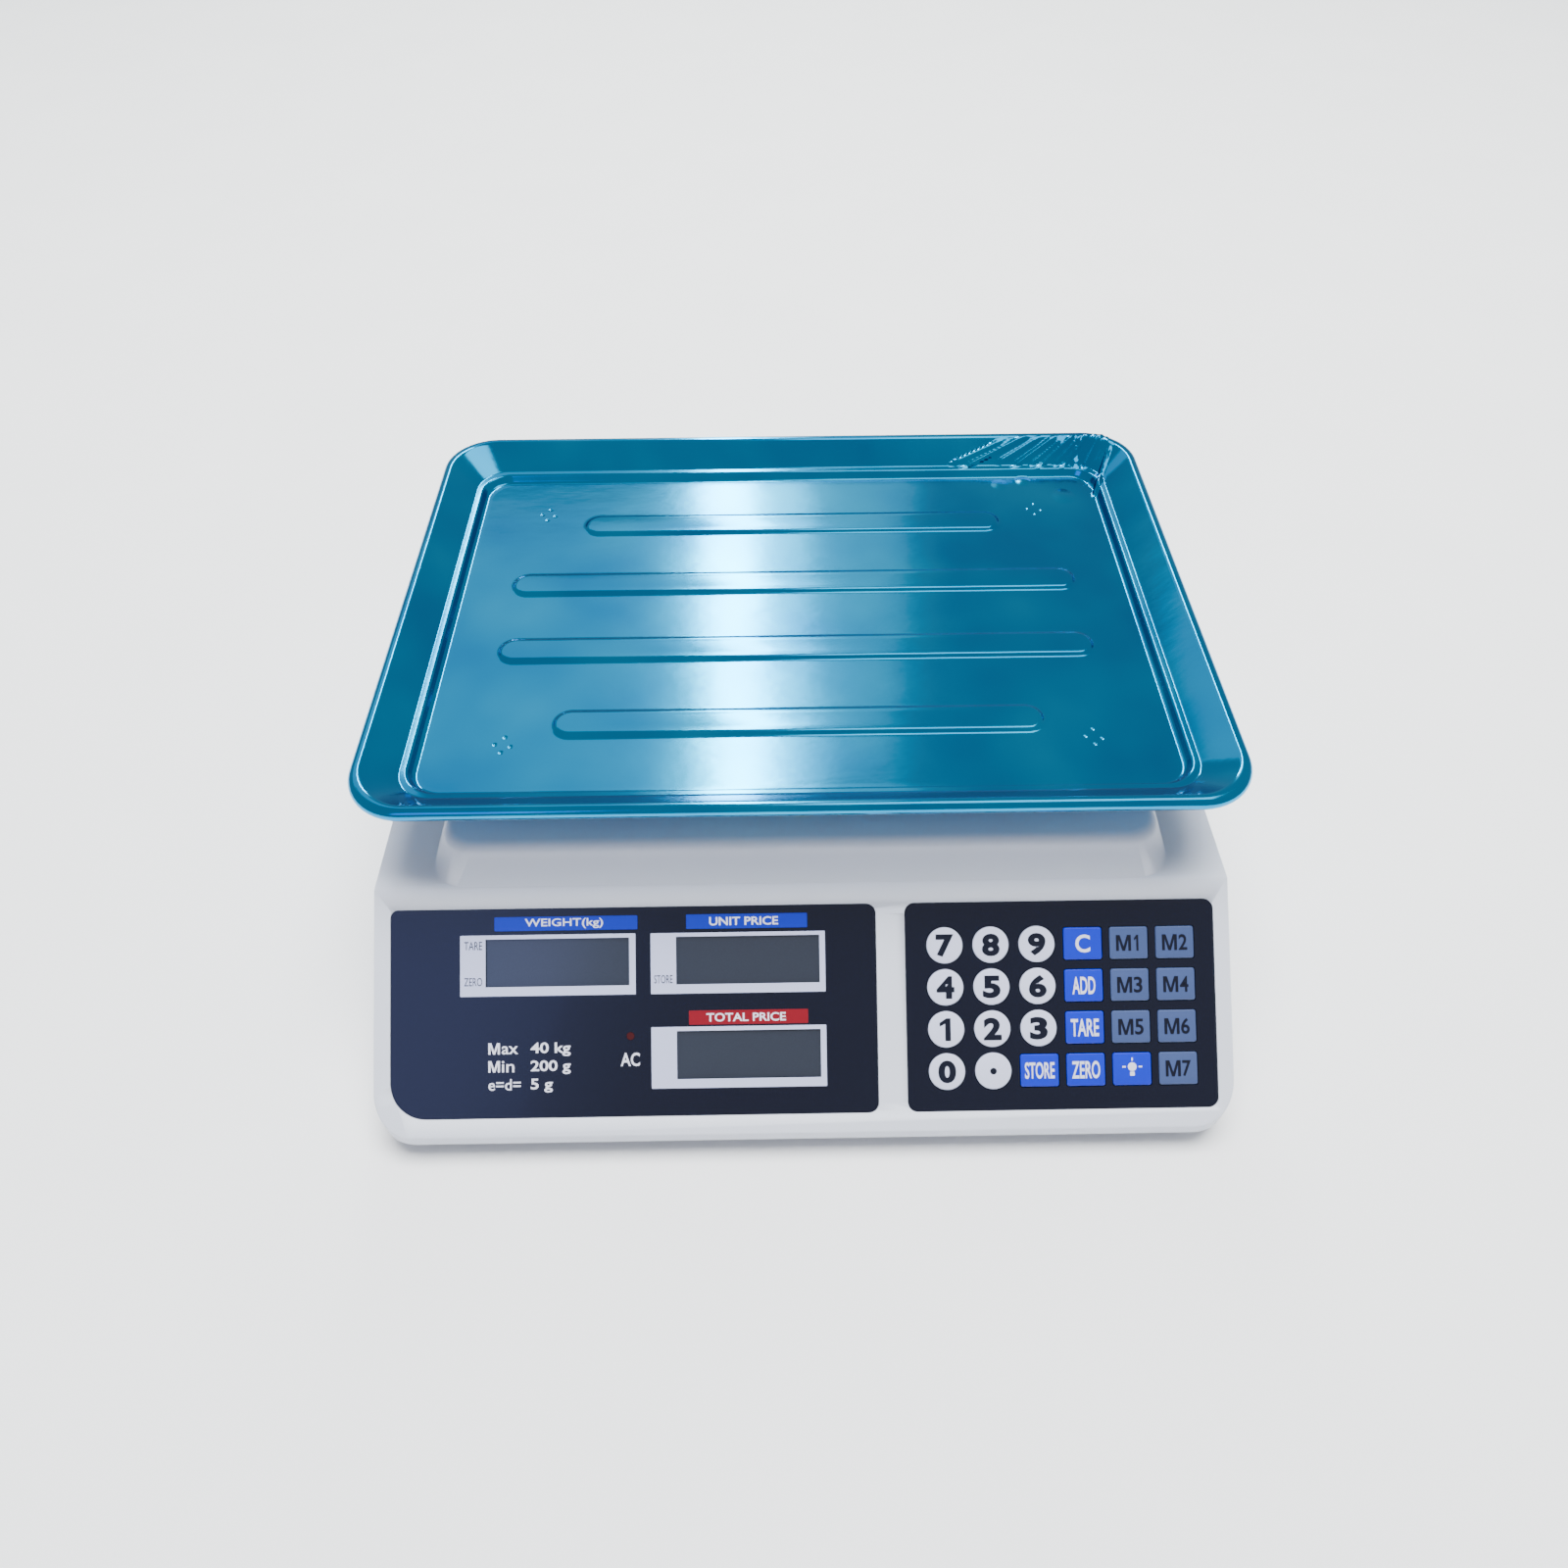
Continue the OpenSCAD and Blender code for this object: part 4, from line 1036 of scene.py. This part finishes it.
def cap(name, outline):
    """A cap from its outline's solid: its top edge is rounded, and a stem is drawn out of its underside."""
    only(outline)
    edit_mode()
    pick_edges(lambda a, b, faces: close_to(a.z, 0) and close_to(b.z, 0) and any(n.z < 0.5 for n in faces))
    bpy.ops.mesh.bevel(offset=0.5 * MM, segments=3, affect="EDGES")
    object_mode()
    stem = rod("stem", (0, 0), 2.5 * MM, stem_depth, -CAP / 2, vertices=24)
    outline = combine(outline, stem, "UNION")
    outline.name = name
    modify(outline, "WEIGHTED_NORMAL", keep_sharp=True)
    bpy.ops.object.shade_smooth_by_angle(angle=radians(35))
    return outline


round_cap = cap("round_cap", rod("round_cap", (0, 0), 7.1 * MM, -CAP, 0, vertices=48))
half_key = Vector((7.5, 6.3)) * MM
key_solid = slab("square_cap", (-half_key.x, -half_key.y, -CAP), (half_key.x, half_key.y, 0), [MM] * 4)
square_cap = cap("square_cap", key_solid)
print("caps", [len(c.data.polygons) for c in (round_cap, square_cap)], "faces")

# %% Copy them to the 24 keys, with their legends
DIGIT, LETTER_C, MEMORY = (3.5, 4.4), (2.9, 3.5), (5, 3.1)
WORD_3, WORD_4, WORD_5 = (4.5, 3.4), (5.5, 3.4), (5.8, 3.2)
legends = {"key_" + d: (d, DIGIT) for d in "023456789"}
legends.update({"key_m" + d: (d, MEMORY) for d in "1234567"})
legends.update(key_clear=("C", LETTER_C), key_add=("ADD", WORD_3), key_tare=("TARE", WORD_4))
legends.update(key_zero=("ZERO", WORD_4), key_store=("STORE", WORD_5))
key_finishes = {"key_white": white_key, "key_slate": slate_key, "key_blue": blue_key}
key_nodes = [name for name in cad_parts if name.startswith("key_") and name != "key_domes"]
for name in key_nodes:
    low, high = box_on(front, name)
    middle = (low + high) / 2
    is_round = high.x - low.x < 14.6 * MM
    deselect()
    template = round_cap if is_round else square_cap
    template.select_set(True)
    bpy.context.view_layer.objects.active = template
    bpy.ops.object.duplicate()
    piece = bpy.context.object
    piece.name = piece.data.name = name + "_cap"
    move_into(piece, front @ Matrix.Translation((middle.x, middle.y, high.z)))
    finish_name = "key_white" if is_round else "key_slate" if "_m" in name else "key_blue"
    printed(piece, key_finishes[finish_name], name)
    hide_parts(name)
    if name in legends:
        words, (half_x, half_y) = legends[name]
        x, y = middle.x / MM, middle.y / MM
        ink = white_ink if finish_name == "key_blue" else navy_ink
        weight = 0.05 if is_round else 0.02
        on_key = {"body": name, "base": high.z, "slot": finish_name}
        if "_m" in name:
            corners = (x - half_x, y - half_y), (x + 0.9, y + half_y)
            outline_plate(name + "_letter", CAPITAL_M, *corners, ink, front, **on_key)
            x, half_x = x + 3.2, 1.7
        if "_m1" in name:
            corners = (x - 1.1, y - half_y), (x + 0.6, y + half_y)
            outline_plate(name + "_legend", ONE, *corners, ink, front, **on_key)
            continue
        corners = (x - half_x, y - half_y), (x + half_x, y + half_y)
        lettering(name + "_legend", words, *corners, ink, front, weight=weight, **on_key)
only(round_cap)
square_cap.select_set(True)
bpy.ops.object.delete()
print(len(key_nodes), "keys")


# %% The drawn legends: the one, the point and the lamp
def disc(name, middle, radius, material, body, base):
    """A printed disc."""
    piece = rod(name, middle, radius, base, base + INK, front, vertices=24)
    only(piece)
    printed(piece, material, body)


low, high = box_on(front, "key_1")
x, y = ((low + high) / 2 / MM)[:2]
corners = (x - 2.6, y - 4.4), (x + 1.7, y + 4.4)
outline_plate("key_1_legend", ONE, *corners, navy_ink, front, "key_1", high.z, "key_white")
low, high = box_on(front, "key_point")
point = (low + high) / 2
disc("key_point_legend", point, 1.3 * MM, navy_ink, "key_point", high.z)
low, high = box_on(front, "key_light")
x, y = ((low + high) / 2 / MM)[:2]
disc("key_light_bulb", (x * MM, (y + 0.9) * MM), 1.7 * MM, white_ink, "key_light", high.z)
for part, left, down, right, up, radius in (
    ("base", -0.9, -2.6, 0.9, -1, 0.3),
    ("left", -3.9, 0.6, -2.5, 1.2, 0.1),
    ("right", 2.5, 0.6, 3.9, 1.2, 0.1),
    ("top", -0.3, 3.2, 0.3, 4.4, 0.1),
):
    corners = (x + left, y + down), (x + right, y + up)
    ink_plate("key_light_" + part, *corners, white_ink, front, "key_light", high.z, radius, slot="key_blue")

# %% [markdown]
# ## Moulded parts whose shape is already right
# Door, switch, inlet, pads and cups have the right form in the frame, only with knife-sharp
# edges. Real mouldings have none, so each gets a copy of its mesh whose doubles are merged and
# whose edges are eased. A bevel needs whole flat faces. Most are made whole by dissolving, but
# where a flat face has ribs or a slot in it, its triangles are only paired into quads.

# %% Eased copies
def eased_copy(node, material, body, width, slot, paired=False, angle=40):
    """A copy of a CAD node's mesh with edges sharper than an angle rounded to a width in millimetres."""
    deselect()
    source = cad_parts[node]
    piece = bpy.data.objects.new(node + "_eased", source.data.copy())
    bpy.context.scene.collection.objects.link(piece)
    only(piece)
    edit_mode()
    select_whole()
    bpy.ops.mesh.remove_doubles(threshold=0.002 * MM)
    if paired:
        bpy.ops.mesh.tris_convert_to_quads(face_threshold=radians(1), shape_threshold=pi)
    else:
        bpy.ops.mesh.dissolve_limited(angle_limit=radians(1))
    object_mode()
    modify(piece, "BEVEL", width=width * MM, segments=2, limit_method="ANGLE", angle_limit=radians(angle),
           use_clamp_overlap=True, miter_outer="MITER_ARC")
    return finish(piece, material, body, node, slot=slot)


eased = [
    eased_copy("battery_door", grey_abs, "battery_door", 0.3, "base_grey", paired=True),
    eased_copy("mains_inlet", black_nylon, "housing", 0.4, "black_plastic"),
    eased_copy("switch_body", black_nylon, "housing", 0.5, "black_plastic", paired=True),
    eased_copy("switch_rocker", red_rocker, "switch_rocker", 0.5, "rocker_red"),
    eased_copy("support_pads", rubber, "platform", 0.8, "rubber_black"),
    eased_copy("pan_cups", blue_film, "pan", 0.3, "pan_steel"),
]
for piece in eased:
    print(piece.name, len(piece.data.polygons), "faces")

# %% [markdown]
# ## The feet
# Each levelling foot is a rubber ring moulded on a threaded stud, with a locking nut above it.
# The ring's section is drawn once and spun all the way round, with a grooved tread below.

# %% A foot
def spun(name, middle, outline, steps=48):
    """An outline of (radius, height) in millimetres, spun round an upright axis."""
    piece = chain(name, [middle + Vector((r * MM, 0, z * MM)) for r, z in outline])
    bpy.ops.mesh.spin(steps=steps, angle=2 * pi, center=middle, axis=(0, 0, 1))
    select_whole()
    bpy.ops.mesh.remove_doubles(threshold=0.005 * MM)
    bpy.ops.mesh.normals_make_consistent(inside=False)
    object_mode()
    return piece


RING = [(0, 0.6), (6, 0.6), (6.3, 0.05), (8.4, 0.05), (8.7, 0.6), (10.2, 0.6), (10.5, 0), (14.3, 0),
        (14.9, 0.5), (15, 1.2), (14.2, 2.2), (12.7, 3.6), (12, 4.15), (5.4, 4.15), (4, 4.15), (0, 4.15)]
STUD = [(0, 4), (4, 4), (4, 18.4), (3.5, 19), (0, 19)]
for name in ("foot_front_left", "foot_front_right", "foot_rear_left", "foot_rear_right"):
    low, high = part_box(name)
    middle = Vector(((low.x + high.x) / 2, (low.y + high.y) / 2, 0))
    ring = spun(name + "_ring", middle, RING)
    finish(ring, rubber, name, name, slot="rubber_black", smooth=30)
    stud = spun(name + "_stud", middle, STUD, 24)
    finish(stud, zinc, name, slot="zinc_steel", smooth=30)
print("four feet")

# %% [markdown]
# ## The level vial
# A round level sits in the deck: a cup of tinted liquid under a clear domed top, with a ring
# mark and a bubble. The liquid and lid are spun in one piece, the ring and bubble apart.

# %% Vial, ring and bubble
vial_at = Vector((vial_middle.x, vial_middle.y, 0))
top = vial_high.z / MM
VIAL = [(0, top - 7), (8.9, top - 7), (8.9, top - 1), (10.4, top - 1), (10.5, top - 0.3), (10.2, top),
        (7.7, top), (7.5, top - 0.6), (5, top - 0.45), (2.5, top - 0.36), (0, top - 0.33)]
cup = spun("vial_cup", vial_at, VIAL)
finish(cup, vial_green, "housing", "level_vial", slot="vial_green", smooth=30)
MARK = [(3.2, top - 0.42), (3.6, top - 0.43), (3.6, top - 0.33), (3.2, top - 0.32), (3.2, top - 0.42)]
finish(spun("vial_ring", vial_at, MARK), navy_ink, "housing", slot="vial_green")
BUBBLE = [(0, top - 0.4), (2, top - 0.4), (2.1, top - 0.3), (1.8, top - 0.2), (1, top - 0.12),
          (0, top - 0.1)]
finish(spun("vial_bubble", vial_at, BUBBLE, 24), pale_ink, "housing", slot="vial_green")

# %% [markdown]
# ## Finishes of the parts that keep their frame shape
# The base, the films, the displays and the parts inside the case have the right shape
# already, so they only get their real finish.

# %% Assign the remaining finishes
finishes = {
    black_film: ["display_film", "keypad_film", "rear_film"],
    lcd_glass: ["front_lcds", "rear_lcds"],
    lamp_red: ["charge_lamp"],
    board_green: ["keypad_board", "display_board", "rear_board", "main_board"],
    spring_steel: ["key_domes"],
    zinc: ["case_screws", "cell_bolts", "spider_bolts", "overload_stops"],
    aluminium: ["load_cell", "spider"],
    grey_abs: ["lower_housing"],
    grey_paint: ["cell_plate"],
    dark_varnish: ["transformer"],
    dark_case: ["battery"],
    grey_sleeve: ["wiring"],
}
for material, names in finishes.items():
    for name in names:
        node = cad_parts[name]
        if not node.material_slots:
            node.data.materials.append(material)
        for slot in node.material_slots:
            slot.material = material
print(sum(len(names) for names in finishes.values()), "parts keep their frame shape")
